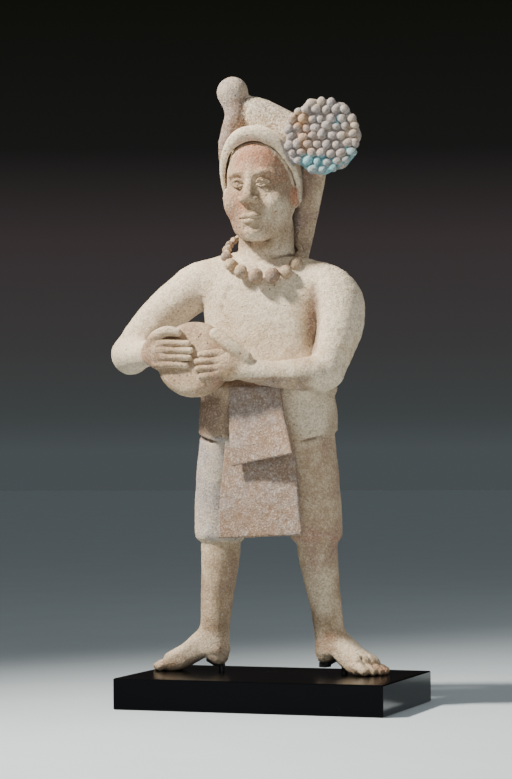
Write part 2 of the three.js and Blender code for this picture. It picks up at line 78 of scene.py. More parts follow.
# Clay as signed distances: forms are joined with a soft blend or carved away.
def smoothMin(a, b, blend):
    if isinstance(blend, (int, float)) and blend <= 0:
        return np.minimum(a, b)
    overlap = np.maximum(blend - np.abs(a - b), 0)
    return np.minimum(a, b) - overlap * overlap / (4 * np.maximum(blend, 1e-6))


def smoothMax(a, b, blend):
    return -smoothMin(-a, -b, blend)


def smoothly(knots, values, t):  # a cubic through the stations, level beyond both ends
    knots, values = np.asarray(knots, np.float32), np.asarray(values, np.float32)
    slopes = np.gradient(values, knots).astype(np.float32)
    t = np.clip(t, knots[0], knots[-1])
    i = np.clip(np.searchsorted(knots, t, side="right") - 1, 0, len(knots) - 2)
    h = knots[i + 1] - knots[i]
    u = (t - knots[i]) / h
    rise = u * u * (3 - 2 * u)
    ends = values[i] * (1 - rise) + values[i + 1] * rise
    return ends + h * u * (1 - u) * ((1 - u) * slopes[i] - u * slopes[i + 1])


def step(t, start, end):  # 0 before start, 1 after end, smooth between
    u = np.clip((t - start) / (end - start), 0, 1)
    return u * u * (3 - 2 * u)


class Clay:  # one lump of clay as signed distances on a grid that is finer where the detail is
    far = 6.0
    margin = 3  # mm around a form within which its distances count
    mostBlend = 8  # mm, of a blend that varies from place to place

    def __init__(self, axes):
        self.axes = [np.asarray(axis, np.float32) for axis in axes]
        self.distance = np.full([len(axis) for axis in self.axes], self.far, np.float32)

    def window(self, low, high, margin):
        spans, places = [], []
        for axis, values in enumerate(self.axes):
            start, stop = np.searchsorted(values, (low[axis] - margin, high[axis] + margin))
            spans.append(slice(start, stop))
            places.append(values[start:stop].reshape([-1 if axis == n else 1 for n in range(3)]))
        return tuple(spans), places

    def join(self, form, blend=0.0, sign=1):  # the blend is in mm, or mm by place
        low, high, distance = form
        spans, places = self.window(low, high, self.margin + (self.mostBlend if callable(blend) else blend))
        if callable(blend):
            blend = blend(*places)
        self.distance[spans] = sign * smoothMin(sign * self.distance[spans], distance(*places), blend)

    def carve(self, form, blend=0.0):
        self.join(form, blend, sign=-1)


def fromOval(share, length, inner):  # mm from an oval; share is 1 on it, length is from its middle
    least = 0.05  # any nearer the middle, the distance is taken as level
    return np.where(share > least, length * (1 - 1 / np.maximum(share, least)), -inner)


def column(shape, rounding=1.5):  # level ovals stacked upwards
    z = shape["z"]
    rampBelow = 12  # mm under the lowest oval where the side's rise is whole

    def value(name, h, otherwise=0.0):
        given = shape.get(name, otherwise)
        return smoothly(z, given, h) if isinstance(given, list) else given

    def distance(x, y, h):
        top = h
        h = h + value("lean", h) * (x - value("x", h))
        if "sideRise" in shape:
            share = (x / shape["wide"][2]) ** 2
            h = h - shape["sideRise"] * share * step(-top, -z[-1], -z[0] - rampBelow)
        dx, dy = x - value("x", h), y - value("y", h)
        wide, deep, square = value("wide", h), value("deep", h), value("square", h, 2.0)
        share = (np.abs(dx / wide) ** square + np.abs(dy / deep) ** square) ** (1 / square)
        side = fromOval(share, np.hypot(dx, dy), np.minimum(wide, deep))
        return smoothMax(side, np.maximum(h - z[-1], z[0] - h), rounding)

    wide, deep = max(shape["wide"]), max(shape["deep"])
    xs, ys = np.atleast_1d(shape.get("x", 0)), np.atleast_1d(shape.get("y", 0))
    slack = 0.1 * wide if "lean" in shape else 0
    low = (min(xs) - wide, min(ys) - deep, z[0] - slack)
    return low, (max(xs) + wide, max(ys) + deep, z[-1] + slack), distance


def tube(places, radii, flats=None, up=(0, 0, 1), fine=3):  # a limb, roll or strip along a smooth path
    places = np.asarray(places, np.float32)
    steps = np.concatenate([[0], np.cumsum(np.linalg.norm(np.diff(places, axis=0), axis=1))])
    t = np.interp(np.linspace(0, len(steps) - 1, fine * (len(steps) - 1) + 1), range(len(steps)), steps)
    path = np.stack([smoothly(steps, places[:, axis], t) for axis in range(3)], axis=1)
    wide = smoothly(steps, np.broadcast_to(radii, len(steps)), t)
    flat = None if flats is None else smoothly(steps, np.broadcast_to(flats, len(steps)), t)

    def distance(x, y, z):
        best = None
        across = np.cross(up, path[1] - path[0])
        for n in range(len(path) - 1):
            a, along = path[n], path[n + 1] - path[n]
            length2 = float(along @ along)
            px, py, pz = x - a[0], y - a[1], z - a[2]
            share = np.clip((px * along[0] + py * along[1] + pz * along[2]) / length2, 0, 1)
            vx, vy, vz = px - share * along[0], py - share * along[1], pz - share * along[2]
            radius = wide[n] + share * (wide[n + 1] - wide[n])
            length = np.sqrt(vx * vx + vy * vy + vz * vz)
            if flat is None:
                here = length - radius
            else:
                direction = along / math.sqrt(length2)
                across = across - direction * (across @ direction)
                across = across / np.linalg.norm(across)
                rise = np.cross(direction, across)
                thick = flat[n] + share * (flat[n + 1] - flat[n])
                parts = [(across, radius), (rise, thick), (direction, np.minimum(radius, thick))]
                squares = [((vx * d[0] + vy * d[1] + vz * d[2]) / r) ** 2 for d, r in parts]
                reach = np.sqrt(sum(squares))
                here = fromOval(reach, length, thick)
            best = here if best is None else np.minimum(best, here)
        return best

    most = float(max(wide)) if flat is None else float(max(max(wide), max(flat)))
    return path.min(0) - most, path.max(0) + most, distance


def ball(place, sizes, turned=(0, 0, 0)):  # a ball or an egg, turned about x, y and z by degrees
    toLocal = np.array(Euler([math.radians(a) for a in turned]).to_matrix().transposed())
    sizes = np.asarray(sizes, np.float32)

    def distance(x, y, z):
        dx, dy, dz = x - place[0], y - place[1], z - place[2]
        local = [row[0] * dx + row[1] * dy + row[2] * dz for row in toLocal]
        first = np.sqrt(sum((v / s) ** 2 for v, s in zip(local, sizes)))
        second = np.sqrt(sum((v / s**2) ** 2 for v, s in zip(local, sizes)))
        return first * (first - 1) / np.maximum(second, 1e-6)

    most = max(sizes)
    return np.subtract(place, most), np.add(place, most), distance


def hangingSheet(shape, rounding=1.0):  # a sheet of clay from side to side, bowed forward
    rows, thick = shape["z"], shape["thick"]

    def distance(x, y, z):
        value = lambda name, h: smoothly(rows, shape[name], h)
        h = z
        for _ in range(2):
            left, right = value("left", h), value("right", h)
            share = (x - left) / (right - left)
            h = z - value("slope", h) * np.clip(share, 0, 1)
        ripple = shape["ripple"] * np.sin(0.19 * x + 0.07 * z + shape["phase"])
        forward = 4 * value("bow", h) * share * (1 - share)
        forward = forward + value("flare", h) * np.clip(share, 0, 1) ** 1.5
        forward = forward + ripple * step(-h, -rows[-1], -rows[0])
        through = np.abs(y - value("y", h) + forward - thick / 2) - thick / 2
        edge = np.maximum(np.maximum(left - x, x - right), np.maximum(rows[0] - h, h - rows[-1]))
        return smoothMax(through, edge, rounding)

    low = (min(shape["left"]), min(shape["y"]) - max(shape["flare"]) - 2, rows[0])
    high = (max(shape["right"]), max(shape["y"]) + thick + 1, rows[-1] + max(shape["slope"]))
    return low, high, distance


# The trunk, from the hips to the shoulders, with the neck set in it. The left shoulder hangs lower.
trunk = {
    "z": [99, 110, 126, 141, 153, 166, 178, 187, 194.5, 198.4, 201, 203.4, 204.6],
    "wide": [26, 32, 33, 31.8, 30.5, 31, 32.5, 33, 31, 27.4, 24, 19, 14],
    "deep": [13, 17.4, 18.6, 18.5, 18, 17.3, 16.5, 15.8, 14.8, 13.7, 11.8, 9.4, 7.6],
    "y": [1, 0.5, 0, 0, 0, 0, 0.5, 1, 1.5, 1.6, 1.6, 1.6, 1.6],
    "square": [2, 2, 2, 2, 2.1, 2.2, 2.3, 2.2, 2, 2, 2, 2, 2],
    "lean": [0, 0, 0, 0, 0, 0.02, 0.05, 0.09, 0.09, 0.09, 0.09, 0.09, 0.09],
}
neck = {"z": [194, 204, 211, 220], "wide": [14.6, 14.2, 13.8, 13.4], "deep": [10.8, 10.4, 10.8, 12]}
# The right elbow is out to the side; the left forearm lies across the belly.
arms = {
    "rightUpper": [
        (-25, 0.5, 193), (-34, 0, 190.2), (-44.3, 0, 183.8),
        (-57, 0, 173.8), (-66.6, 0.5, 163.6), (-72.2, 1, 156.6),
    ],
    "rightUpperRadii": [9.9, 11.4, 11, 10.5, 9.9, 9.3],
    "rightFore": [(-72.7, 0.5, 155.8), (-66.5, -9, 155.8), (-57.5, -18.6, 155.8), (-50, -27.6, 155.8)],
    "rightForeRadii": [9, 8, 6.7, 5.6],
    "rightForeFlats": [9, 8, 6.7, 6.2],
    "leftUpper": [
        (22, 0.5, 192), (31.5, -1, 187.5), (37.6, -2, 179.8),
        (39.2, -4, 170.5), (36.7, -7, 157), (34, -10, 147),
    ],
    "leftUpperRadii": [8.4, 10.6, 12, 11.4, 9.8, 8.6],
    "leftFore": [(33.2, -10.6, 145.6), (24.5, -19.4, 144.2), (12, -26.6, 144.6), (1, -31, 146.4)],
    "leftForeRadii": [8.9, 7.9, 6.1, 5.2],
    "leftForeFlats": [8.9, 7.9, 6.1, 5.6],
}
creases = [  # between the arms and the chest
    ([(25.4, -12.5, 184), (27.4, -13.8, 176), (28.4, -14.2, 166), (28, -15, 156)], [0.7, 1.6, 1.5, 0.8]),
    ([(-30.5, -9.5, 183), (-31, -8, 176), (-31, -6, 171)], [0.5, 0.9, 0.6]),
]
drum = {"place": (-27.4, -27.6, 152), "radius": 18.2, "half": 7, "crown": 1.4, "edge": 4.5, "tilt": 8}
fingerPitch = 3.4
hands = {
    "right": {
        "palm": (-45, -33, 155.6), "palmSize": (7.4, 4.2, 7.4), "heading": -28,
        "knuckles": (-41.5, -36.6, 155), "fingers": [13.8, 15.2, 14.6, 13], "radius": 1.75,
        "thumb": [(-49, -31.6, 158.5), (-44.6, -34.4, 163.2), (-39, -35, 165.6), (-33.4, -34.6, 165)],
        "thumbRadii": [3.1, 2.9, 2.7, 2.2],
    },
    "left": {
        "palm": (-7.6, -34.4, 148.4), "palmSize": (8.4, 4.2, 7.2), "heading": 12,
        "knuckles": (-13, -36.8, 149.6), "fingers": [-8.2, -9.8, -9.6, -8], "radius": 1.85,
        "thumb": [(0.8, -33.4, 152.2), (-6.2, -36, 158.4), (-13, -36.8, 163.8)],
        "thumbRadii": [3.4, 3.3, 2.8],
    },
}


def joinArms(clay):
    # soft at the shoulder, close to the trunk lower down
    shoulder = lambda x, y, z: 1.2 + 5 * step(z, 172, 186) * step(np.abs(x), 44, 34)
    clay.join(tube(arms["rightUpper"], arms["rightUpperRadii"]), shoulder)
    clay.join(tube(arms["leftUpper"], arms["leftUpperRadii"]), shoulder)
    clay.join(tube(arms["rightFore"], arms["rightForeRadii"], arms["rightForeFlats"]), 2.5)
    clay.join(tube(arms["leftFore"], arms["leftForeRadii"], arms["leftForeFlats"]), 1.6)


def drumForm():
    place, radius, half = drum["place"], drum["radius"], drum["half"]
    lean = math.radians(drum["tilt"])

    def distance(x, y, z):
        dx, dy, dz = x - place[0], y - place[1], z - place[2]
        through = -dy * math.cos(lean) + dz * math.sin(lean)
        out = np.sqrt(np.maximum(dx * dx + dy * dy + dz * dz - through * through, 0))
        head = half - drum["crown"] * (np.minimum(out / radius, 1)) ** 3
        return smoothMax(out - radius, np.abs(through) - head, drum["edge"])

    return np.subtract(place, radius), np.add(place, radius), distance


def joinHand(clay, hand):
    clay.join(ball(hand["palm"], hand["palmSize"], (0, 0, hand["heading"])), 3)
    clay.join(tube(hand["thumb"], hand["thumbRadii"]), 1.4)
    knuckles = np.array(hand["knuckles"])
    towards = math.copysign(1, hand["fingers"][0])
    rows = [1.5, 0.5, -0.5, -1.5]
    bases = [knuckles + (0, 0.5 * abs(row), fingerPitch * row) for row in rows]
    for base, reach in zip(bases, hand["fingers"]):  # one finger after another, with a joint's swelling
        path = [base - (3 * towards, -0.6, 0), base + (0.45 * reach, -0.35, -0.2)]
        path.append(base + (reach, 0.2, -0.6))
        clay.join(tube(path, [hand["radius"], hand["radius"], 0.86 * hand["radius"]], fine=2), 0.35)
    for base in bases[:-1]:  # the grooves between them, drawn with a tool
        start = base + (-1.5 * towards, -1.9, -fingerPitch / 2)
        end = base + (hand["fingers"][1] * 1.05, -1.7, -fingerPitch / 2 - 0.6)
        clay.carve(tube([start, (start + end) / 2, end], [0.5, 0.75, 0.8], fine=1), 0.4)


# The hip cloth turns in at its hem. Two apron sheets hang in front of it from under the forearm.
hipCloth = {
    "z": [110.4, 111, 113.4, 121, 131, 141.5, 142.8],
    "wide": [33, 34.4, 34.9, 35, 33.9, 32.4, 30.2],
    "deep": [19, 20.8, 21.7, 21.4, 20.2, 19.6, 17.4],
    "y": [0.5, 0.2, 0.2, 0, 0, 0, 0],
    "lean": [0, -0.02, -0.02, 0, 0, 0, 0],
    "sideRise": 6,  # mm that the hem is higher at the hips than in front
}
longSheet = {
    "z": [66, 90, 112, 139], "left": [-16.8, -16, -14.8, -13.4], "right": [25.8, 23, 20.4, 16.4],
    "y": [-25.6, -24.2, -21, -16], "bow": [0, 0.4, 0.8, 0.8],
    "slope": [1.8, 1, 0, 0], "flare": [0, 0, 0, 0],
    "thick": 2.4, "ripple": 0.35, "phase": 0.5,
}
shortSheet = {
    "z": [100.4, 112, 124, 139], "left": [-8.6, -9.8, -10.8, -11.4], "right": [24.4, 21.4, 17.8, 14.6],
    "y": [-28.6, -27.4, -26, -23.8], "bow": [0.3, 0.8, 1, 0.8],
    "slope": [7, 2, 0, 0], "flare": [4.5, 2.4, 0.8, 0],
    "thick": 2.2, "ripple": 0.3, "phase": 2.0,
}
# A leg is a legging over thigh and knee, a bare shin that leans out to the ankle, and a foot.
legging = {
    "z": [63.2, 65.4, 73, 85, 98, 112, 124], "wide": [10.4, 12, 12.8, 13.1, 13.8, 14.8, 15.2],
    "deep": [10.2, 11.6, 12.4, 13.2, 14.8, 16.4, 16.6], "y": [1, 1, 1, 0.8, 0.6, 0.5, 0.5],
    "rightX": [25.4, 25.4, 25.2, 24.4, 22.6, 19.9, 18.4], "leftX": [24, 24, 23.8, 23, 21.2, 18.8, 18],
}
hemGaps = [  # shadow lines under the hip cloth's hem
    [
        (-34.4, -2, 115.8), (-31.6, -8.4, 114.8), (-26.4, -13.6, 113.2),
        (-20, -17, 111.8), (-14.5, -18.6, 110.9),
    ],
    [(18.5, -17.4, 111.6), (24.4, -15, 112.7), (30, -10.8, 114.2), (33.6, -5, 115.4), (34.8, 1, 116)],
]
shin = {
    "z": [10, 20, 33, 47, 60, 68],
    "wide": [6.6, 7.3, 7.8, 8.7, 9.7, 9.8], "deep": [6, 6.8, 7.6, 8.7, 9.6, 9.6],
    "rightX": [-29, -29, -27.8, -26.4, -25.4, -25.2], "rightY": [2, 2, 1.5, 1, 1, 1],
    "leftX": [28.6, 28.6, 27.4, 25.8, 24.6, 24.4], "leftY": [6.4, 6, 4.6, 2.8, 1.4, 1.2],
}
foot = {  # distances from the back of the heel; the soles come down to the plinth only at the ball
    "s": [0.2, 2.2, 6.5, 11, 17, 23, 29, 34, 37],
    "top": [13, 18, 21, 22, 18.6, 13.6, 10.2, 7.6, 5], "half": [2.6, 5, 6.2, 6.4, 6.8, 7.8, 8.8, 9, 8.2],
    "toeRadii": [2.5, 2.2, 2.1, 2, 1.9], "toeReach": [33.2, 35.6, 37.2, 37.4, 36],
    "toePitch": 3.7, "toeLength": 3.4,
    "bigToe": 6.8,  # how far it is from the foot's middle line
    "right": {
        "heel": (-22.4, 2.6), "heading": 181, "toBigToe": 1, "shorter": -0.8, "heelLift": 0,
        "sole": [6, 4, 3.9, 6.4, 4, 0.8, -0.4, -0.4, 0],
    },
    "left": {
        "heel": (22.2, 8.6), "heading": -16, "toBigToe": -1, "shorter": 1.4, "heelLift": 1.5,
        "sole": [6, 4, 3.9, 6.2, 2.2, -0.2, -0.4, -0.4, 0],
    },
}


def joinFoot(clay, side):
    own = foot[side]
    heading = math.radians(own["heading"])
    c, s = math.cos(heading), math.sin(heading)
    heel, reaches = own["heel"], [reach - own["shorter"] for reach in foot["toeReach"]]
    asides = [foot["bigToe"] - toe * foot["toePitch"] for toe in range(5)]  # from the big toe outwards

    def distance(x, y, z):
        dx, dy = x - heel[0], y - heel[1]
        along, aside = dx * c + dy * s, dy * c - dx * s
        value = lambda given: smoothly(foot["s"], given, along)
        sole = value(own["sole"]) + own["heelLift"] * np.clip((26 - along) / 16, 0, 1)
        top, half = value(foot["top"]), value(foot["half"])
        middle, tall = (top + sole) / 2, (top - sole) / 2
        square = np.where(z > middle, 2.2, 3.6)  # flatter underneath
        share = (np.abs(aside / half) ** square + np.abs((z - middle) / tall) ** square) ** (1 / square)
        side = fromOval(share, np.sqrt(aside**2 + (z - middle) ** 2), tall)
        front = np.interp(aside * own["toBigToe"], asides[::-1], reaches[::-1]) - foot["toeLength"]
        return smoothMax(side, np.maximum(along - front, -along), 3)

    reach = Vector((40 * c, 40 * s))
    low = (min(heel[0], heel[0] + reach.x) - 9, min(heel[1], heel[1] + reach.y) - 9, -1)
    high = (max(heel[0], heel[0] + reach.x) + 9, max(heel[1], heel[1] + reach.y) + 9, 24)
    clay.join((low, high, distance), 3)
    spot = lambda along, aside, z: (heel[0] + along * c - aside * s, heel[1] + along * s + aside * c, z)
    for toe, r in enumerate(foot["toeRadii"]):
        reach, aside = reaches[toe], own["toBigToe"] * asides[toe]
        bones = [(reach - 8, aside * 0.92, r + 2.4), (reach - 3, aside, r + 1), (reach - 0.6, aside, r)]
        clay.join(tube([spot(*bone) for bone in bones], [0.85 * r, r, r], fine=2), 0.3)
        nail = spot(reach + 0.1 * r, aside, 1.95 * r)
        clay.carve(ball(nail, (0.8 * r, 0.6 * r, 0.35 * r), (0, 32, own["heading"])), 0.2)
    for gap in range(4):  # the grooves between the toes
        reach = (reaches[gap] + reaches[gap + 1]) / 2
        aside = own["toBigToe"] * (asides[gap] + asides[gap + 1]) / 2
        path = [spot(reach - 7, aside * 0.95, 10.4)]
        path += [spot(reach + on, aside, z) for on, z in ((-3, 6.8), (0, 3.6), (1.6, 1))]
        clay.carve(tube(path, [0.4, 0.7, 0.7, 0.7], fine=2), 0.3)


def joinLegs(clay):
    for side, sign in (("right", -1), ("left", 1)):
        clay.join(column({**shin, "x": shin[side + "X"], "y": shin[side + "Y"]}), 1)
        joinFoot(clay, side)
        clay.join(column({**legging, "x": [sign * x for x in legging[side + "X"]]}, 2.5), 1.2)
    for path in hemGaps:
        clay.carve(tube(path, [0.8, 1.1, 1.2, 1.1, 0.8], fine=2), 0.3)


# The head. The face is a general one: heights by the usual thirds from hairline to chin.
headMiddle = -0.6
skull = {
    "z": [209.5, 212.5, 218, 226, 236, 246, 254, 262], "x": headMiddle,
    "wide": [5.5, 9.8, 13.6, 16.2, 17.2, 16.8, 14.8, 8], "deep": [4.5, 8.8, 14, 17.2, 19.6, 20, 18.2, 11],
    "y": [-15.2, -12, -8, -5, -3, -2, -1.5, -1],
}
face = {"front": -22, "brows": 241.5, "eyes": 237, "noseBase": 227.5, "mouth": 219.8, "chin": 213}


def joinFace(clay):
    front, brows, eyes = face["front"], face["brows"], face["eyes"]
    noseBase, mouth, chin = face["noseBase"], face["mouth"], face["chin"]
    spot = lambda x, back, z: (headMiddle + x, front + back, z)
    line = lambda height, places, side=1: [spot(side * x, back, height + rise) for x, back, rise in places]
    for side in (-1, 1):  # cheeks, sockets and brows
        clay.join(ball(spot(side * 9.4, 7.6, noseBase + 0.6), (6.2, 6.9, 7.4)), 3)
        clay.carve(ball(spot(side * 6.8, -1.6, eyes + 0.3), (4.9, 2.7, 2.9), (0, 0, side * 12)), 2.4)
        brow = line(brows, [(1.8, 0.6, -0.6), (6.4, 0.5, 0.8), (11.4, 3.4, -0.8)], side)
        clay.join(tube(brow, [0.7, 1.1, 0.7]), 2.4)
    bridge = line(brows, [(0, 0.6, -0.5)]) + line(eyes, [(0, -1.2, -2)])
    bridge += line(noseBase, [(0, -2.6, 3.4), (0, -3.1, 2.2)])
    clay.join(tube(bridge, [1.6, 1.9, 2.4, 2.5]), 1.8)
    clay.join(ball(spot(0, 3.8, chin + 0.6), (5, 4, 3.8)), 3)
    for side in (-1, 1):  # nostrils, eyes and lids
        clay.join(ball(spot(side * 2.9, -1.1, noseBase + 1.2), (2.1, 2.5, 1.9)), 0.8)
        clay.carve(ball(spot(side * 1.6, -2.5, noseBase - 0.5), (0.8, 1.2, 1), (20, 0, 0)), 0.4)
        clay.join(ball(spot(side * 6.4, 2.4, eyes - 0.1), (3.7, 2.6, 2.1), (0, 0, side * 14)), 0.3)
        upperLid = line(eyes, [(2.6, 0.6, -0.4), (5.9, -1, 1.7), (10.2, 1.6, 0.1)], side)
        lowerLid = line(eyes, [(3, 0.4, -0.9), (6.2, -0.6, -2), (9.8, 1.6, -0.5)], side)
        clay.join(tube(upperLid, [0.4, 0.6, 0.4]), 0.5)
        clay.join(tube(lowerLid, [0.3, 0.45, 0.3]), 0.5)
    clay.carve(tube([spot(0, -1.8, noseBase - 1), spot(0, -1.2, mouth + 2.6)], [0.5, 0.7]), 0.8)
    upperLip = line(mouth, [(-5, 1.7, 0), (-1.9, -0.5, 1.2), (0, -0.7, 0.9), (1.9, -0.5, 1.2), (5, 1.7, 0)])
    lowerLip = line(mouth, [(-4.4, 1.5, -0.8), (0, -0.5, -1.6), (4.4, 1.5, -0.8)])
    parting = line(mouth, [(-5.4, 1.2, 0), (0, -1.9, -0.1), (5.4, 1.2, 0)])
    underLip = line(mouth, [(-3, 0.2, -4.4), (0, -1, -4.5), (3, 0.2, -4.4)])
    clay.join(tube(upperLip, [0.7, 1.3, 1.2, 1.3, 0.7]), 0.6)
    clay.join(tube(lowerLip, [0.8, 1.5, 0.8]), 0.6)
    clay.carve(tube(parting, [0.35, 0.45, 0.35]), 0.3)
    clay.carve(tube(underLip, [0.8, 1, 0.8]), 1.6)
    for side in (-1, 1):  # the ears, half under the cap
        clay.join(ball(spot(side * 17.2, 17.5, noseBase + 3.6), (2, 3.8, 5.4), (10, 0, side * 14)), 1)
        clay.carve(ball(spot(side * 19.3, 16.9, noseBase + 4), (1.5, 1.9, 3), (10, 0, side * 14)), 0.6)


# The close cap, open in front on a leaning plane, with a rolled brim there that stands off the face.
cap = {
    "z": [227, 233, 241, 249.5, 257, 263, 267], "x": headMiddle,
    "wide": [17.2, 18.7, 19.1, 18.2, 15.4, 10.6, 4.6], "deep": [19.4, 21.6, 22.6, 21.8, 18.4, 13, 6],
    "y": [-1, -1.6, -2, -1.6, -1.4, -1.4, -1.6],
}
brim = {
    "top": (headMiddle, -19.2, 261), "side": (17.4, -5.4, 237), "width": 8, "flat": 2.4,
    "gap": 1.3, "gapDeep": 5,  # between the brim and the face
    "degrees": (-108, -84, -60, -38, -19, 0, 19, 38, 60, 84, 108), "narrowing": 0.45,
}
knob = {"place": (-15, -6, 283.1), "sizes": (7.7, 7.7, 7.8)}
strand = {
    "path": [
        (-19.6, -6, 245.5), (-19.4, -7, 251.5), (-17.6, -7.5, 258.5),
        (-15, -7.5, 265), (-12.9, -7, 271.5), (-13.4, -6.2, 278),
    ],
    "radii": [1.2, 2.6, 4.1, 4.9, 5.4, 6.3],
}
roll = {
    "path": [
        (-9.5, -3, 275), (-2, -2, 271.4), (7, -1, 267),
        (16, -1, 262.6), (24, -2.5, 260), (30, -5, 259.4),
    ],
    "radii": [7.2, 8.6, 8.6, 8, 7.2, 6.2],
}
tail = {
    "path": [
        (27.6, -3, 256), (24.6, 2, 243.5), (20.8, 6.5, 231),
        (17.6, 9.6, 218), (15.6, 9.6, 206), (15.4, 7, 197),
    ],
    "radii": [6.8, 6.6, 6, 5, 3.8, 3], "flats": [3.4, 3.2, 3, 2.7, 2.4, 2.2],
}
innerFold = {  # a second strip close behind the neck
    "path": [(20, 2, 247), (16.8, 6.5, 233), (14.2, 9.5, 219), (13, 9.5, 206), (13.5, 7, 198)],
    "radii": [4.5, 4.6, 4.4, 3.6, 3], "flats": [2.6, 2.5, 2.4, 2.2, 2],
}
hoodGap = {  # between the strand and the brim, then under the roll
    "path": [
        (-17, -9.5, 245), (-15.2, -12, 252), (-12.8, -14.6, 259),
        (-9, -15.6, 264.2), (-4.6, -15.4, 267), (1, -14.6, 268),
    ],
    "radii": [0.6, 1, 1.4, 1.9, 1.9, 0.9],
}
rosette = {"place": (32.8, -9.6, 258.8), "radius": 18, "thick": 4.2, "heading": 10}


def brimForm():
    top, side = np.array(brim["top"]), np.array(brim["side"])
    path, wide, flat = [], [], []
    for degrees in brim["degrees"]:
        drop = 1 - math.cos(math.radians(degrees))
        narrowing = 1 - brim["narrowing"] * min(drop, 1)
        place = top + (np.array((top[0], side[1], side[2])) - top) * drop
        place[0] += (side[0] - top[0]) * math.sin(math.radians(degrees))
        path.append(place)
        wide.append(brim["width"] / 2 * narrowing)
        flat.append(brim["flat"] * narrowing)
    return tube(path, wide, flat, up=(0, -0.87, -0.5))


def outOfFace(y, z):  # mm in front of the leaning plane that opens the cap
    top, side = np.array(brim["top"]), np.array(brim["side"])
    run = (side - top)[1:]
    run = run / np.linalg.norm(run)
    return (y - top[1]) * run[1] - (z - top[2]) * run[0]


def rope(shape):
    return tube(shape["path"], shape["radii"])


def strip(shape):  # a flat strip down the back of the head
    return tube(shape["path"], shape["radii"], shape["flats"], up=(0.3, 1, 0))


def joinCap(clay):
    hood = Clay(clay.axes)
    low, high, shell = column(cap)
    hood.join((low, high, lambda x, y, z: smoothMax(shell(x, y, z), outOfFace(y, z), 0.6)))
    hood.join(brimForm(), 1.2)
    low, high, head = column(skull)
    gap = lambda x, y, z: np.maximum(head(x, y, z) - brim["gap"], -outOfFace(y, z) - brim["gapDeep"])
    hood.carve((low, high, gap), 0.3)
    clay.distance = np.minimum(clay.distance, hood.distance)
    clay.join(rope(strand), 0.8)
    clay.join(ball(knob["place"], knob["sizes"]), 2.5)
    clay.join(rope(roll), 0.8)
    clay.join(strip(innerFold), 0.8)
    clay.join(strip(tail), 0.5)


def rosetteFrame():  # its middle, its own x and its way out, towards the front
    heading = math.radians(rosette["heading"])
    aside = Vector((math.cos(heading), math.sin(heading), 0))
    return Vector(rosette["place"]), aside, Vector((math.sin(heading), -math.cos(heading), 0))


def inRosette(x, y, z):  # places as across, up and out in the rosette's own frame
    middle, aside, out = rosetteFrame()
    dx, dy = x - middle.x, y - middle.y
    return dx * aside.x + dy * aside.y, z - middle.z, dx * out.x + dy * out.y


def joinRosette(clay):
    half = rosette["thick"] / 2

    def distance(x, y, z):
        u, v, through = inRosette(x, y, z)
        angle = np.arctan2(v, u)
        edge = rosette["radius"] + 0.5 * np.sin(7 * angle + 1) + 0.35 * np.sin(13 * angle + 2.2)
        return smoothMax(np.hypot(u, v) - edge, np.abs(through - half) - half, 1.6)

    place, reach = rosetteFrame()[0], rosette["radius"] + 1
    clay.join((np.subtract(place, reach), np.add(place, reach), distance), 0.8)


# The necklace lies on the chest and climbs behind the neck, where only its cord shows.
necklace = {
    "place": (-1, -1.6, 204.2), "wide": 19.2, "deep": 16.9, "drop": 11.6, "lean": 4.1, "yaw": 2.4,
    "cordRadius": 1.3, "cord": (84, 290),
    "angles": [-121, -108, -95, -82, -64, -43, -19, 6, 31, 54, 78, 101],
    "radii": [1.8, 1.9, 2.1, 2.4, 2.9, 3.2, 3.5, 3.8, 3.8, 3.3, 3.8, 2.8],
}


def necklacePoint(degrees):
    c, s = math.cos(math.radians(degrees)), math.sin(math.radians(degrees))
    x, y, z = necklace["place"]
    return Vector((
        x + necklace["wide"] * s,
        y - necklace["deep"] * c - necklace["yaw"] * s,
        z - necklace["drop"] * c - necklace["lean"] * s,
    ))


def joinCord(clay):
    start, end = necklace["cord"]
    path = [tuple(necklacePoint(degrees)) for degrees in np.linspace(start, end, 10)]
    clay.join(tube(path, [necklace["cordRadius"]] * len(path)), 0.6)


# The grid is finer over the feet, the hands, the face and the front.
coarse = 1.0
gridSpans = {  # from, to and the step between
    "x": [(-87, -24, 0.6), (-24, 24, 0.44), (24, 66, 0.6)],
    "y": [(-47, -14, 0.46), (-14, 24, 0.66)],
    "z": [
        (-3, 12, 0.5), (12, 64, 0.8), (64, 138, 0.66), (138, 170, 0.5),
        (170, 206, 0.66), (206, 266, 0.42), (266, 294, 0.6),
    ],
}


def gridAxis(spans):
    parts = [np.arange(start, end, size * coarse) for start, end, size in spans]
    return np.concatenate(parts)


def buildClay():
    clay = Clay([gridAxis(gridSpans[name]) for name in "xyz"])
    print("clay: grid", clay.distance.shape)
    clay.join(column(trunk))
    clay.join(column(neck), 0.5)
    joinArms(clay)
    for path, radii in creases:
        clay.carve(tube(path, radii, fine=2), 1.2)
    clay.join(column(hipCloth), 0.6)
    joinLegs(clay)
    clay.join(hangingSheet(longSheet), 0.4)
    clay.join(hangingSheet(shortSheet), 0.4)
    clay.join(drumForm(), 0.7)
    joinHand(clay, hands["right"])
    joinHand(clay, hands["left"])
    print("clay: body, cloths and hands")
    clay.join(column(skull), 3)
    joinFace(clay)
    joinCap(clay)
    clay.carve(tube(hoodGap["path"], hoodGap["radii"], fine=2), 0.6)
    joinRosette(clay)
    joinCord(clay)
    print("clay: head and headdress")
    underSoles = (-84, -47, -9), (53, 24, 0), lambda x, y, z: z + 0 * x + 0 * y
    clay.carve(underSoles)
    return clay


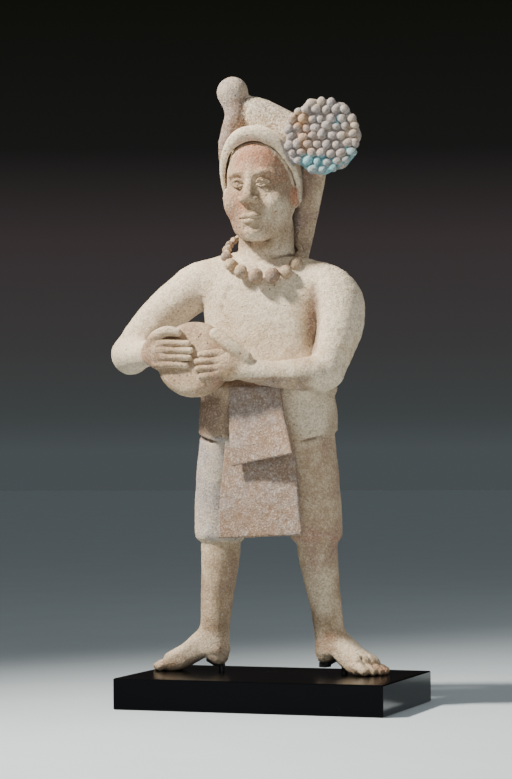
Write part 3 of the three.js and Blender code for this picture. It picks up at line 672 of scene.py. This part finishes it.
def boxBlur(field, cells):  # a running mean along each axis
    for axis in range(3):
        n = max(1, int(round(cells[axis])))
        field = np.moveaxis(field, axis, 0)
        padded = np.concatenate([field[:1].repeat(n + 1, 0), field, field[-1:].repeat(n, 0)])
        total = np.cumsum(padded, axis=0, dtype=np.float64)
        field = ((total[2 * n + 1:] - total[:-2 * n - 1]) / (2 * n + 1)).astype(np.float32)
        field = np.moveaxis(field, 0, axis)
    return field


def between(table, cells, shares):  # a table's values at places between its entries
    total = 0
    for corner in range(8):
        picks = [(corner >> axis) & 1 for axis in range(3)]
        weight = np.prod([shares[a] if picks[a] else 1 - shares[a] for a in range(3)], axis=0)
        total = total + weight * table[tuple((cells[a] + picks[a]) % table.shape[a] for a in range(3))]
    return total


def sample(field, axes, points):  # the field at points in mm
    cells, shares = [], []
    for axis in range(3):
        place = np.interp(points[:, axis], axes[axis], np.arange(len(axes[axis])))
        cells.append(np.clip(place.astype(int), 0, len(axes[axis]) - 2))
        shares.append(place - cells[axis])
    return between(field, cells, shares)


def valueNoise(points, size, seed):  # soft lumps about `size` across, from -1 to 1
    table = np.random.default_rng(seed).uniform(-1, 1, (64, 64, 64))
    places = points.T / size + 1000
    cells = np.floor(places).astype(int)
    shares = places - cells
    return between(table, cells, shares * shares * (3 - 2 * shares))


def meshFrom(name, points, faces):
    mesh = bpy.data.meshes.new(name)
    sides = faces.shape[1]
    mesh.vertices.add(len(points))
    mesh.vertices.foreach_set("co", points.astype(np.float32).ravel())
    mesh.loops.add(faces.size)
    mesh.loops.foreach_set("vertex_index", faces.astype(np.int32).ravel())
    mesh.polygons.add(len(faces))
    mesh.polygons.foreach_set("loop_start", np.arange(len(faces), dtype=np.int32) * sides)
    mesh.update(calc_edges=True)
    mesh.validate()
    return mesh


def readPlaces(mesh):
    flat = np.empty(len(mesh.vertices) * 3, np.float32)
    mesh.vertices.foreach_get("co", flat)
    return flat.reshape(-1, 3).astype(np.float64)


def setPlaces(mesh, places):
    mesh.vertices.foreach_set("co", places.astype(np.float32).ravel())
    mesh.update()


def applyTo(piece, modifier):  # the piece's mesh becomes what the modifier makes of it
    evaluated = piece.evaluated_get(bpy.context.evaluated_depsgraph_get())
    mesh = bpy.data.meshes.new_from_object(evaluated)
    piece.modifiers.remove(modifier)
    piece.data = mesh


def biggestShell(points, faces):  # drops stray crumbs of clay, if any
    parent = np.arange(len(points))
    while True:
        before = parent.copy()
        low = parent[faces].min(axis=1)
        for corner in range(faces.shape[1]):
            np.minimum.at(parent, parent[faces[:, corner]], low)
        parent = parent[parent]
        if (parent == before).all():
            break
    roots, counts = np.unique(parent[faces[:, 0]], return_counts=True)
    keep = parent[faces[:, 0]] == roots[counts.argmax()]
    faces = faces[keep]
    used = np.unique(faces)
    index = np.full(len(points), -1)
    index[used] = np.arange(len(used))
    print("clay: shells", len(roots), "dropped faces", int((~keep).sum()))
    return points[used], index[faces]


skin = {
    "reach": 3.0,  # distances beyond this are cut
    "uneven": {"hand": (9, 0.22), "lump": (3.4, 0.13), "grain": (1.5, 0.06)},  # size and depth
    "mostTriangles": 190000,
    "hollow": 3, "hollowDepth": 1.2,  # how far a hollow is felt, and how deep counts as full
}
clay = buildClay()
clay.distance = np.clip(clay.distance, -skin["reach"], skin["reach"])
grid = openvdb.FloatGrid(skin["reach"])
grid.copyFromArray(clay.distance)
cells, quads = grid.convertToQuads(isovalue=0.0)
points = [np.interp(cells[:, a], np.arange(len(clay.axes[a])), clay.axes[a]) for a in range(3)]
points = np.stack(points, axis=1)
points, quads = biggestShell(points, quads)
print("clay: skin", len(points), "points", len(quads), "quads")

figureMesh = meshFrom("figure", points, quads)
normals = np.empty(len(points) * 3, np.float32)
figureMesh.vertices.foreach_get("normal", normals)
normals = normals.reshape(-1, 3)
shift = sum(
    depth * valueNoise(points, size, 11 + n)
    for n, (size, depth) in enumerate(skin["uneven"].values())
)
shift = shift * step(points[:, 2], 0.0, 1.5)  # the soles stay on the plinth
setPlaces(figureMesh, points + normals * shift[:, None])
figure = addObject("figure", figureMesh)
if len(quads) * 2 > skin["mostTriangles"]:
    thin = figure.modifiers.new("thin", "DECIMATE")
    thin.ratio = skin["mostTriangles"] / (len(quads) * 2)
    applyTo(figure, thin)
print("figure:", len(figure.data.polygons), "faces")
points = readPlaces(figure.data)
near = boxBlur(clay.distance, (skin["hollow"] / coarse,) * 3)


def storeFloat(mesh, name, values):
    attribute = mesh.attributes.new(name, "FLOAT", "POINT")
    attribute.data.foreach_set("value", np.asarray(values, np.float32))


def storeHollows(mesh, places):  # 1 deep in a hollow, 0 on a ridge
    depth = sample(near, clay.axes, places) / skin["hollowDepth"]
    storeFloat(mesh, "nearHollow", np.clip(0.5 - depth, 0, 1))


def placeMesh(mesh, places):  # from mm in the figure's frame to metres in the row frame
    setPlaces(mesh, (places + np.array(figurePlace)) * mm)
    mesh.shade_smooth()


def soft(points, place, radii):  # 1 at a place, 0 beyond the radii
    away = np.linalg.norm((points - place) / radii, axis=1)
    return step(-away, -1, -0.35)


# How much of each paint or wear lies on each part of the clay, some of it painted shade or painted light.
# The shader breaks up the edges.
paintNames = ("slip", "brown", "grey", "flush")
paintsOn = {
    "trunk": (0.62, 0.12, 0, 0),
    "arm": (0.95, 0, 0, 0),
    "hand": (0.2, 0.45, 0, 0.1),
    "drum": (0.2, 0.35, 0.15, 0.2),
    # painted shade: the neck is painted browner and darker than the chest for the shade under the chin
    "neck": (0.05, 0.65, 0, 0.1),
    "hip": (0.25, 0.5, 0.2, 0),
    "apron": (0, 1, 0.35, 0),
    "rightLegging": (0.4, 0.25, 0.75, 0.1),
    "leftLegging": (0.25, 0.45, 0.25, 0.3),
    "shin": (0.25, 0.42, 0.15, 0.15),
    "foot": (0.45, 0.3, 0, 0.14),
    "face": (0.2, 0.5, 0, 0.2),
    "cap": (0.95, 0.05, 0.1, 0),
    # painted shade: the strand is painted dark brown for the shade it lies in
    "strand": (0, 1, 0.35, 0.1),
    "bead": (0.1, 0.55, 0.3, 0.06),
    "knob": (0.3, 0.25, 0.5, 0),
    "roll": (0.5, 0.3, 0.3, 0.05),
    "tail": (0.3, 0.4, 0.3, 0.25),
    # painted shade: the inner strip behind the neck is painted dark brown for the shade it lies in
    "innerFold": (0.1, 0.8, 0.3, 0),
    "rosette": (0.1, 0.45, 0.75, 0),
}
stains = [  # paint, how much more or less of it, where, and how far it reaches
    ("flush", 0.5, (17, -6, 231), (4, 7, 8)),  # the left ear
    ("flush", 0.3, (-17, -14, 243), (4, 9, 16)),  # the right temple
    ("flush", 0.45, (0, -20, 252), (20, 12, 14)),  # the forehead
    ("brown", 0.35, (0, -20, 253), (20, 12, 12)),
    ("flush", 0.1, (-6, -22, 226), (12, 10, 10)),  # the cheeks
    ("slip", 0.3, (10, -16, 226), (9, 12, 12)),
    ("ochre", 0.3, (4, -16, 228), (18, 12, 16)),
    # a brown stain down the left arm's inner side, partly painted shade along the armpit crease
    ("slip", -0.45, (26, -14, 172), (8, 8, 24)),  # down the left arm's inner side
    ("brown", 0.9, (28, -14, 172), (5.5, 8, 28)),
    ("ochre", 0.22, (26, -14, 176), (6, 8, 16)),
    ("brown", 0.3, (8, -18, 180), (16, 8, 12)),  # the chest
    ("ochre", 0.25, (44, -10, 160), (8, 12, 24)),  # the left arm's outer side
    ("ochre", 0.5, (-4, -42, 144), (11, 9, 7)),  # the left hand and its thumb
    ("ochre", 0.4, (-10, -39, 161), (5, 5, 6)),
    ("brown", 0.2, (-6, -20, 120), (14, 10, 18)),  # the hip cloth
    ("brown", 0.5, (-28, -10, 128), (14, 18, 16)),
    ("slip", -0.3, (-28, -10, 128), (14, 18, 16)),
    # painted light: slip lightens the left hip, which lies in shade
    ("slip", 0.3, (20, -16, 132), (12, 14, 14)),
    ("slip", 0.4, (27, -12, 126), (14, 14, 18)),
    ("ochre", 0.3, (-34, -6, 76), (9, 12, 10)),  # the right knee
    # painted light: slip lightens the left shin, which lies in shade
    ("slip", 0.3, (26, -6, 44), (12, 12, 26)),  # the left shin
    ("flush", 0.3, (-24, -4, 14), (10, 10, 9)),  # the ankles
    ("flush", 0.35, (28, -4, 15), (10, 10, 9)),
    ("brown", 0.3, (-34, -4, 8), (22, 12, 14)),  # the right foot
]


def touching(points, form, reach=1.4):  # 1 on a form's skin or in it, 0 beyond its reach
    distance = form[2](points[:, 0], points[:, 1], points[:, 2])
    return 1 - step(distance, 0.35, reach)


def paintMasks(mesh, points, tone=None):
    x, y, z = points[:, 0], points[:, 1], points[:, 2]
    masks = {name: np.full(len(points), 1.0) * on for name, on in zip(paintNames, paintsOn["trunk"])}

    def lay(part, weight):
        for name, amount in zip(paintNames, paintsOn[part]):
            masks[name] += (amount - masks[name]) * weight

    # painted shade on the neck, under the chin
    lay("neck", step(z, 203, 208) * soft(points, (0, 0, 214), (24, 24, 16)))
    lay("hip", step(-z, -143.5, -142.5) * step(z, 96, 100))
    below = step(-z, -116, -113)
    lay("leftLegging", below * step(np.abs(x), 0, 3))
    lay("rightLegging", below * step(-x, 0, 8) * step(-y, -12, 4))
    lay("shin", step(-z, -65, -63))
    lay("foot", step(-z, -20, -14))
    lay("apron", touching(points, hangingSheet(longSheet)) * step(-z, -112, -109))
    lay("apron", touching(points, hangingSheet(shortSheet)))
    for name in ("rightUpper", "leftUpper", "rightFore", "leftFore"):
        lay("arm", touching(points, tube(arms[name], arms[name + "Radii"])) * step(np.abs(x), 26, 36))
    lay("drum", touching(points, drumForm()))
    for hand in hands.values():
        lay("hand", soft(points, hand["knuckles"], (19, 10, 13)))
    lay("face", step(-y, 2, 7) * step(z, 209, 214) * (1 - step(z, 262, 266)))
    behindFace = step(-outOfFace(y, z), -0.5, 0.5)
    lay("cap", touching(points, column(cap)) * step(z, 228, 233) * behindFace)
    lay("cap", touching(points, brimForm()))
    lay("innerFold", touching(points, strip(innerFold)))
    lay("tail", touching(points, strip(tail)))
    onRoll = touching(points, rope(roll))
    lay("roll", onRoll)
    lay("strand", touching(points, rope(strand)))
    lay("knob", touching(points, ball(knob["place"], knob["sizes"])))
    u, v, through = inRosette(x, y, z)
    onRosette = (1 - step(np.hypot(u, v), 19.5, 21)) * step(through, -1.5, 0) * step(-through, -11, -9)
    lay("rosette", onRosette)
    flatPlace = np.stack([u, v, 0 * u], axis=1)
    patch = lambda place, radii: soft(flatPlace, (*place, 0), (*radii, 1)) * onRosette
    masks["blue"] = patch((-2, -14), (17, 9)) + 0.9 * patch((15, -9), (7, 10))
    masks["blue"] += 0.75 * patch((9, 7), (6, 5)) + 0.1 * onRosette
    masks["ochre"] = 0.55 * patch((-11, 8.5), (9, 6)) + 0.35 * patch((-6, -2), (9, 11))
    for paintName, amount, place, reach in stains:
        masks[paintName] += amount * soft(points, place, reach)
    masks["coarse"] = onRoll * (1 - onRosette)
    if tone is not None:
        lay("bead", step(-z, -225, -220))
        masks["slip"] += 0.35 * (0.5 - tone)
        masks["brown"] += 0.5 * (tone - 0.55)
        masks["blue"] *= 0.45 + 0.5 * (1 - tone)
    for name, values in masks.items():
        storeFloat(mesh, name, np.clip(values, 0, 1))


storeHollows(figure.data, points)
paintMasks(figure.data, points)
placeMesh(figure.data, points)
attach(figure, "root")
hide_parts("terracotta_figure")


# Materials and shape trees are written as sums: arithmetic on an output adds Math nodes.
class Out:
    def __init__(self, tree, node, socket):
        self.tree, self.made, self.socket = tree, node, socket

    def other(self, name):
        return Out(self.tree, self.made, self.made.outputs[name])

    def maths(self, operation, *values):
        return self.tree.node("ShaderNodeMath", {"operation": operation}, *values)

    def __add__(self, value):
        return self.maths("ADD", self, value)

    __radd__ = __add__

    def __sub__(self, value):
        return self.maths("SUBTRACT", self, value)

    def __rsub__(self, value):
        return self.maths("SUBTRACT", value, self)

    def __mul__(self, value):
        return self.maths("MULTIPLY", self, value)

    __rmul__ = __mul__

    def __truediv__(self, value):
        return self.maths("DIVIDE", self, value)

    def band(self, start, end):  # 0 below start, 1 above end
        settings = {"interpolation_type": "SMOOTHSTEP"}
        return self.tree.node("ShaderNodeMapRange", settings, self, start, end, 0.0, 1.0)


class Tree:  # a node tree; every node comes from node(), unnamed values in the order of the sockets
    def __init__(self, nodeTree):
        self.tree = nodeTree

    def node(self, kind, settings=None, *values, **named):
        made = self.tree.nodes.new(kind)
        for name, value in (settings or {}).items():
            if name == "stops":
                while len(made.color_ramp.elements) < len(value):
                    made.color_ramp.elements.new(0.5)
                for element, (place, colour) in zip(made.color_ramp.elements, value):
                    element.position, element.color = place, colour
            else:
                setattr(made, name, value)
        shown = [socket for socket in made.inputs if socket.enabled]
        pairs = list(zip(shown, values))
        for name, value in named.items():
            found = next(socket for socket in shown if socket.name.replace(" ", "") == name)
            pairs.append((found, value))
        for socket, value in pairs:
            if isinstance(value, Out):
                self.tree.links.new(value.socket, socket)
            else:
                socket.default_value = value
        outputs = [socket for socket in made.outputs if socket.enabled]
        return Out(self, made, outputs[0] if outputs else None)

    def mix(self, share, first, second, blend="MIX"):
        return self.node("ShaderNodeMix", {"data_type": "RGBA", "blend_type": blend}, share, first, second)


def paint(code):  # a colour from its usual six signs
    parts = [int(code[n:n + 2], 16) / 255 for n in (0, 2, 4)]
    return tuple(p / 12.92 if p < 0.04045 else ((p + 0.055) / 1.055) ** 2.4 for p in parts) + (1,)


def newMaterial(name):
    material = bpy.data.materials.new(name)
    material.use_nodes = True
    material.node_tree.nodes.clear()
    tree = Tree(material.node_tree)
    return material, tree, tree.node("ShaderNodeTexCoord").other("Object")


def noise(tree, where, size, detail=3.0, rough=0.55):  # lumps about `size` mm across
    scale = 1 / (size * mm)
    return tree.node("ShaderNodeTexNoise", {}, Vector=where, Scale=scale, Detail=detail, Roughness=rough)


def spots(tree, where, size):  # the distance from scattered points about `size` mm apart
    return tree.node("ShaderNodeTexVoronoi", {"feature": "F1"}, Vector=where, Scale=1 / (size * mm))


def bumped(tree, height, strength, depth):  # depth in mm
    return tree.node("ShaderNodeBump", {}, Strength=strength, Distance=depth * mm, Height=height)


def finishMaterial(tree, **sockets):
    tree.node("ShaderNodeOutputMaterial", {}, tree.node("ShaderNodeBsdfPrincipled", {}, **sockets))


clayLook = {
    "buff": paint("c4ab8a"), "slip": paint("f4e3c9"), "brown": paint("8f7462"), "ochre": paint("c38f4e"),
    "flush": paint("bd8161"), "grey": paint("a5a0a2"), "grime": paint("54402f"), "granule": paint("f4ead8"),
    "fleck": paint("80644a"), "shade": paint("d6cfc6"), "shine": (1.1, 1.1, 1.1, 1),
    "blue": paint("45b0c4"), "paleBlue": paint("9cc7cb"),
}


def clayMaterial(name):
    look = clayLook
    material, tree, where = newMaterial(name)
    attribute = lambda held: tree.node("ShaderNodeAttribute", {"attribute_name": held}).other("Fac")
    broad, patch = noise(tree, where, 30), noise(tree, where, 8, 4, 0.6)
    speck, grain = noise(tree, where, 2.6, 5, 0.7), noise(tree, where, 0.95, 3, 0.75)
    breakUp = (broad - 0.5) * 2 + (patch - 0.5) * 1.4 + (speck - 0.5) * 0.8
    colour = look["buff"]
    for paintName in ("brown", "grey", "slip", "flush", "ochre"):
        ragged = -0.55 if paintName == "slip" else 0.5  # slip wears off where the washes gather
        lies = (attribute(paintName) + breakUp * ragged).band(0.15, 0.85)
        colour = tree.mix(lies * 0.88, colour, look[paintName])
    low, coarse = attribute("nearHollow"), attribute("coarse")
    blue = (attribute("blue") * (0.7 + 0.6 * low) + breakUp * 0.35).band(0.3, 0.75)
    blues = tree.mix(patch.band(0.4, 0.6) * 0.5, look["blue"], look["paleBlue"])
    colour = tree.mix(blue * 0.85, colour, blues)
    mottle = noise(tree, where, 0.9, 2, 0.6).band(0.34, 0.66) * 0.6 + speck.band(0.3, 0.7) * 0.4
    colour = tree.mix(1.0, colour, tree.mix(mottle, look["shade"], look["shine"]), "MULTIPLY")
    light = (grain * 0.8 + speck * 0.2 + coarse * 0.04).band(0.52, 0.62)
    dark = (1 - (grain * 0.65 + speck * 0.2 + patch * 0.15)).band(0.51, 0.61)
    colour = tree.mix(light * (0.3 + 0.45 * coarse), colour, look["granule"])
    colour = tree.mix(dark * (0.42 + 0.3 * coarse), colour, look["fleck"])
    pit = (1 - spots(tree, where, 3.1).band(0.08, 0.2)) * (patch + speck).band(1.0, 1.15)
    # painted shade: the clay is darkened deep in its hollows and creases, where shade falls; the scattered
    # pits take the same dark colour as grime
    hollowShade = (low + (speck - 0.5) * 0.4).band(0.72, 1.05)
    colour = tree.mix(hollowShade.maths("MAXIMUM", hollowShade * 0.85, pit * 0.6), colour, look["grime"])
    height = speck * 0.6 + grain * (0.5 + 0.7 * coarse) - pit * 0.5
    bump = bumped(tree, height, 1.0, 1.2)
    finishMaterial(tree, BaseColor=colour, Roughness=0.8 + 0.14 * patch, Normal=bump, IOR=1.45)
    return material


clayBody = clayMaterial("fired clay")
figure.data.materials.clear()
figure.data.materials.append(clayBody)
print("figure: painted")


# The beads and the pellets are grown by Geometry Nodes from the values that their groups show.
def newShapeTree(name, inputs):
    nodeTree = bpy.data.node_groups.new(name, "GeometryNodeTree")
    nodeTree.interface.new_socket("Geometry", in_out="INPUT", socket_type="NodeSocketGeometry")
    for label, value in inputs.items():
        kind = "NodeSocketInt" if isinstance(value, int) else "NodeSocketFloat"
        nodeTree.interface.new_socket(label, in_out="INPUT", socket_type=kind).default_value = value
    nodeTree.interface.new_socket("Geometry", in_out="OUTPUT", socket_type="NodeSocketGeometry")
    tree = Tree(nodeTree)
    return tree, tree.node("NodeGroupInput")


def grow(name, base, tree, values):  # runs the tree on a base mesh and keeps the plain mesh
    piece = addObject(name, base)
    modifier = piece.modifiers.new("grow", "NODES")
    modifier.node_group = tree.tree
    for item in tree.tree.interface.items_tree:
        if item.in_out == "INPUT" and item.name in values:
            modifier[item.identifier] = values[item.name]
    applyTo(piece, modifier)
    mesh = piece.data
    mesh.name = name
    places = readPlaces(mesh)
    tone = np.empty(len(mesh.vertices), np.float32)
    mesh.attributes["tone"].data.foreach_get("value", tone)
    paintMasks(mesh, places, tone)
    storeHollows(mesh, places)
    placeMesh(mesh, places)
    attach(piece, "root")
    print(name + ":", len(mesh.polygons), "faces")


def finishShapeTree(tree, geometry, material):
    real = tree.node("GeometryNodeRealizeInstances", {}, geometry)
    coated = tree.node("GeometryNodeSetMaterial", {}, real, Material=material)
    tree.node("NodeGroupOutput", {}, coated)


def scatter(tree, low, high, seed):  # a random value, or three of them, for each point
    kind = "FLOAT_VECTOR" if isinstance(low, tuple) else "FLOAT"
    return tree.node("FunctionNodeRandomValue", {"data_type": kind}, low, high, Seed=seed)


def scaled(tree, vector, factor):
    return tree.node("ShaderNodeVectorMath", {"operation": "SCALE"}, Vector=vector, Scale=factor)


def setOut(tree, places, lump, turnBy, scale, seed):  # a lump on every place, each in its own tone
    kind = "GeometryNodeInstanceOnPoints"
    held = tree.node(kind, {}, places, Instance=lump, Rotation=turnBy, Scale=scale)
    settings = {"data_type": "FLOAT", "domain": "INSTANCE"}
    tone = scatter(tree, 0.0, 1.0, seed)
    return tree.node("GeometryNodeStoreNamedAttribute", settings, held, Name="tone", Value=tone)


beadValues = {"Squash": 0.94, "Unevenness": 0.05, "Seed": 3}


def makeBeads():
    tree, given = newShapeTree("beads on a path", beadValues)
    seed = given.other("Seed")
    lump = tree.node("GeometryNodeMeshUVSphere", {}, 24, 16, 1.0)
    place = tree.node("GeometryNodeInputPosition")
    lumps = tree.node("ShaderNodeTexNoise", {"noise_dimensions": "3D"}, Vector=place, Scale=1.1, Detail=1.0)
    swell = 1 + (lumps - 0.5) * given.other("Unevenness") * 6
    lump = tree.node("GeometryNodeSetPosition", {}, lump, Position=scaled(tree, place, swell))
    size = tree.node("GeometryNodeInputNamedAttribute", {"data_type": "FLOAT"}, "size")
    turnBy = scatter(tree, (0, 0, 0), (6.3, 6.3, 6.3), seed)
    scale = tree.node("ShaderNodeCombineXYZ", {}, size, size, size * given.other("Squash"))
    held = setOut(tree, given.other("Geometry"), lump, turnBy, scale, seed + 1)
    finishShapeTree(tree, held, clayBody)
    base = bpy.data.meshes.new("bead places")
    base.from_pydata([tuple(necklacePoint(degrees)) for degrees in necklace["angles"]], [], [])
    storeFloat(base, "size", necklace["radii"])
    grow("beads", base, tree, beadValues)


pelletValues = {
    "Radius": 16.5, "Pitch": 4.85, "Jitter": 0.75, "Pellet size": 2.35, "Size spread": 0.16,
    "Rows": 9, "Seed": 5,
}
rowRise = 0.866  # from row to row, as a share of the pitch, so that three neighbours lie equally far apart


def makePellets():
    tree, given = newShapeTree("pellets in rows", pelletValues)
    pitch, rows, seed = given.other("Pitch"), given.other("Rows"), given.other("Seed")
    radius, spread = given.other("Radius"), given.other("Size spread")
    side = pitch * (rows - 1)
    net = tree.node("GeometryNodeMeshGrid", {}, side, side * rowRise, rows, rows)
    place = tree.node("GeometryNodeInputPosition")
    parts = tree.node("ShaderNodeSeparateXYZ", {}, place)
    across, upward = parts.other("X"), parts.other("Y")
    rowsUp = upward / (pitch * rowRise)
    row = rowsUp.maths("ROUND", rowsUp)
    odd = row.maths("PINGPONG", row, 1.0)  # every other row is half a pitch aside
    start = tree.node("ShaderNodeCombineXYZ", {}, across + odd * pitch * 0.5, upward, 0.0)
    shake = scaled(tree, scatter(tree, (-1, -1, 0), (1, 1, 0), seed), given.other("Jitter"))
    moved = tree.node("ShaderNodeVectorMath", {"operation": "ADD"}, start, shake)
    net = tree.node("GeometryNodeSetPosition", {}, net, Position=moved)
    points = tree.node("GeometryNodeMeshToPoints", {}, net)
    away = tree.node("ShaderNodeVectorMath", {"operation": "LENGTH"}, place).other("Value")
    beyond = {"data_type": "FLOAT", "operation": "GREATER_THAN"}
    outside = tree.node("FunctionNodeCompare", beyond, away, radius + pitch * 0.45)
    points = tree.node("GeometryNodeDeleteGeometry", {"domain": "POINT"}, points, outside)
    pull = radius / away
    pulled = scaled(tree, place, pull.maths("MINIMUM", pull, 1.0))
    points = tree.node("GeometryNodeSetPosition", {}, points, Position=pulled)
    lump = tree.node("GeometryNodeMeshUVSphere", {}, 18, 12, 1.0)
    size = scatter(tree, 1 - spread, 1 + spread, seed + 2) * given.other("Pellet size")
    scale = tree.node("ShaderNodeCombineXYZ", {}, size * 1.06, size * 0.9, size * 0.85)
    turnBy = scatter(tree, (-0.3, -0.3, 0), (0.3, 0.3, 6.3), seed + 3)
    held = setOut(tree, points, lump, turnBy, scale, seed + 4)
    middle, _, out = rosetteFrame()
    middle = middle + out * (rosette["thick"] + 0.2)
    facing = (math.pi / 2, 0, math.radians(rosette["heading"]))
    held = tree.node("GeometryNodeTransform", {}, held, Translation=tuple(middle), Rotation=facing)
    finishShapeTree(tree, held, clayBody)
    grow("pellets", bpy.data.meshes.new("pellets"), tree, pelletValues)


makeBeads()
makePellets()


# The plinth and the mounts keep their CAD shapes.
plinthLook = {
    "sides": paint("131315"), "top": paint("030303"), "dust": paint("8d8a86"),
    "topFrom": (14.9, 14.98),  # mm up, where the top's finish takes over from the sides'
}
steelLook = {"dark": paint("0b0b0d"), "pale": paint("26262b")}


def plinthMaterial():
    look = plinthLook
    material, tree, where = newMaterial("black lacquer")
    speck = (1 - spots(tree, where, 5.5).band(0.03, 0.07)) * noise(tree, where, 9, 1).band(0.52, 0.6)
    haze = noise(tree, where, 30, 3)
    start, end = look["topFrom"]
    top = tree.node("ShaderNodeSeparateXYZ", {}, where).other("Z").band(start * mm, end * mm)
    colour = tree.mix(speck * 0.7, tree.mix(top, look["sides"], look["top"]), look["dust"])
    gloss = 0.1 + 0.06 * haze + 0.3 * speck + 0.08 * top
    polish = (1 - top) * (1 - speck)  # the sides are polished and mirror the floor at a slant
    finishMaterial(tree, BaseColor=colour, Roughness=gloss, Metallic=polish, SpecularIORLevel=0.12)
    return material


def steelMaterial():
    material, tree, where = newMaterial("black painted steel")
    mottle = noise(tree, where, 1.6, 3)
    colour = tree.mix(mottle.band(0.45, 0.75) * 0.5, steelLook["dark"], steelLook["pale"])
    bump = bumped(tree, mottle, 0.3, 0.2)
    finishMaterial(tree, BaseColor=colour, Roughness=0.4 + 0.2 * mottle, Normal=bump)
    return material


lacquer, steel = plinthMaterial(), steelMaterial()
for node, material in (("plinth", lacquer), ("mount_right_heel", steel), ("mount_left_heel", steel)):
    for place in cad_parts[node].material_slots:
        place.material = material
print("plinth and mounts: painted")


# The floor, the lights and the backdrop. Places are metres in the row frame.
floorLook = {"half": 6.0, "pale": paint("c2ccd0"), "dark": paint("b9c3c8")}


def floorMaterial():
    material, tree, where = newMaterial("pale paper")
    mottle = noise(tree, where, 60, 2)
    colour = tree.mix(mottle.band(0.3, 0.7) * 0.3, floorLook["pale"], floorLook["dark"])
    finishMaterial(tree, BaseColor=colour, Roughness=0.9)
    return material


floorMesh = bpy.data.meshes.new("floor")
half = floorLook["half"]
corners = [(-half, -half, 0), (half, -half, 0), (half, half, 0), (-half, half, 0)]
floorMesh.from_pydata(corners, [], [(0, 1, 2, 3)])
floorMesh.materials.append(floorMaterial())
floor = addObject("floor", floorMesh)

lights = {
    "key": {
        "kind": "SPOT", "place": (-0.47, -0.36, 0.78), "target": (0.3, -0.22, 0.12),
        "size": 0.05, "cone": 86, "power": 105, "colour": (1, 0.955, 0.875),
    },
    "fill": {
        "kind": "AREA", "place": (0.6, -1.25, 0.6), "target": (0, 0, 0.16),
        "size": 0.9, "power": 6.5, "colour": (0.95, 0.98, 1),
    },
    "edge": {
        "kind": "AREA", "place": (0.6, 0.5, 0.5), "target": (0, 0, 0.18),
        "size": 0.3, "power": 1.2, "colour": (0.97, 0.98, 1),
    },
}
# The overhead light keeps the far floor as bright as the backdrop.
overhead = {"power": 0.48, "spread": 60, "colour": (0.93, 0.99, 1.04)}
for name, light in lights.items():
    lamp = bpy.data.lights.new(name, light["kind"])
    if light["kind"] == "SPOT":
        lamp.spot_size, lamp.spot_blend = math.radians(light["cone"]), 1.0
        lamp.shadow_soft_size = light["size"]
    else:
        lamp.size = light["size"]
    lamp.energy, lamp.color = light["power"], light["colour"]
    holder = addObject(name, lamp)
    holder.location = light["place"]
    aim = Vector(light["target"]) - Vector(light["place"])
    holder.rotation_euler = aim.to_track_quat("-Z", "Y").to_euler()

sun = bpy.data.lights.new("overhead", "SUN")
sun.energy, sun.angle, sun.color = overhead["power"], math.radians(overhead["spread"]), overhead["colour"]
addObject("overhead", sun)

world = bpy.data.worlds.new("studio")
bpy.context.scene.world = world
world.use_nodes = True
world.node_tree.nodes.clear()
sky = Tree(world.node_tree)
backdropRise = 0.2  # the last stop, as the upward share of the line of sight
stops = [
    (0.0, (0.071, 0.083, 0.088, 1)), (0.07, (0.054, 0.062, 0.062, 1)), (0.2, (0.049, 0.048, 0.049, 1)),
    (0.42, (0.044, 0.035, 0.036, 1)), (0.6, (0.0125, 0.0125, 0.012, 1)), (1.0, (0.0055, 0.0062, 0.0033, 1)),
]
direction = sky.node("ShaderNodeTexCoord").other("Generated")
upwards = sky.node("ShaderNodeSeparateXYZ", {}, direction).other("Z")
shade = sky.node("ShaderNodeValToRGB", {"stops": stops}, upwards / backdropRise)
sky.node("ShaderNodeOutputWorld", {}, sky.node("ShaderNodeBackground", {}, shade, 1.0))
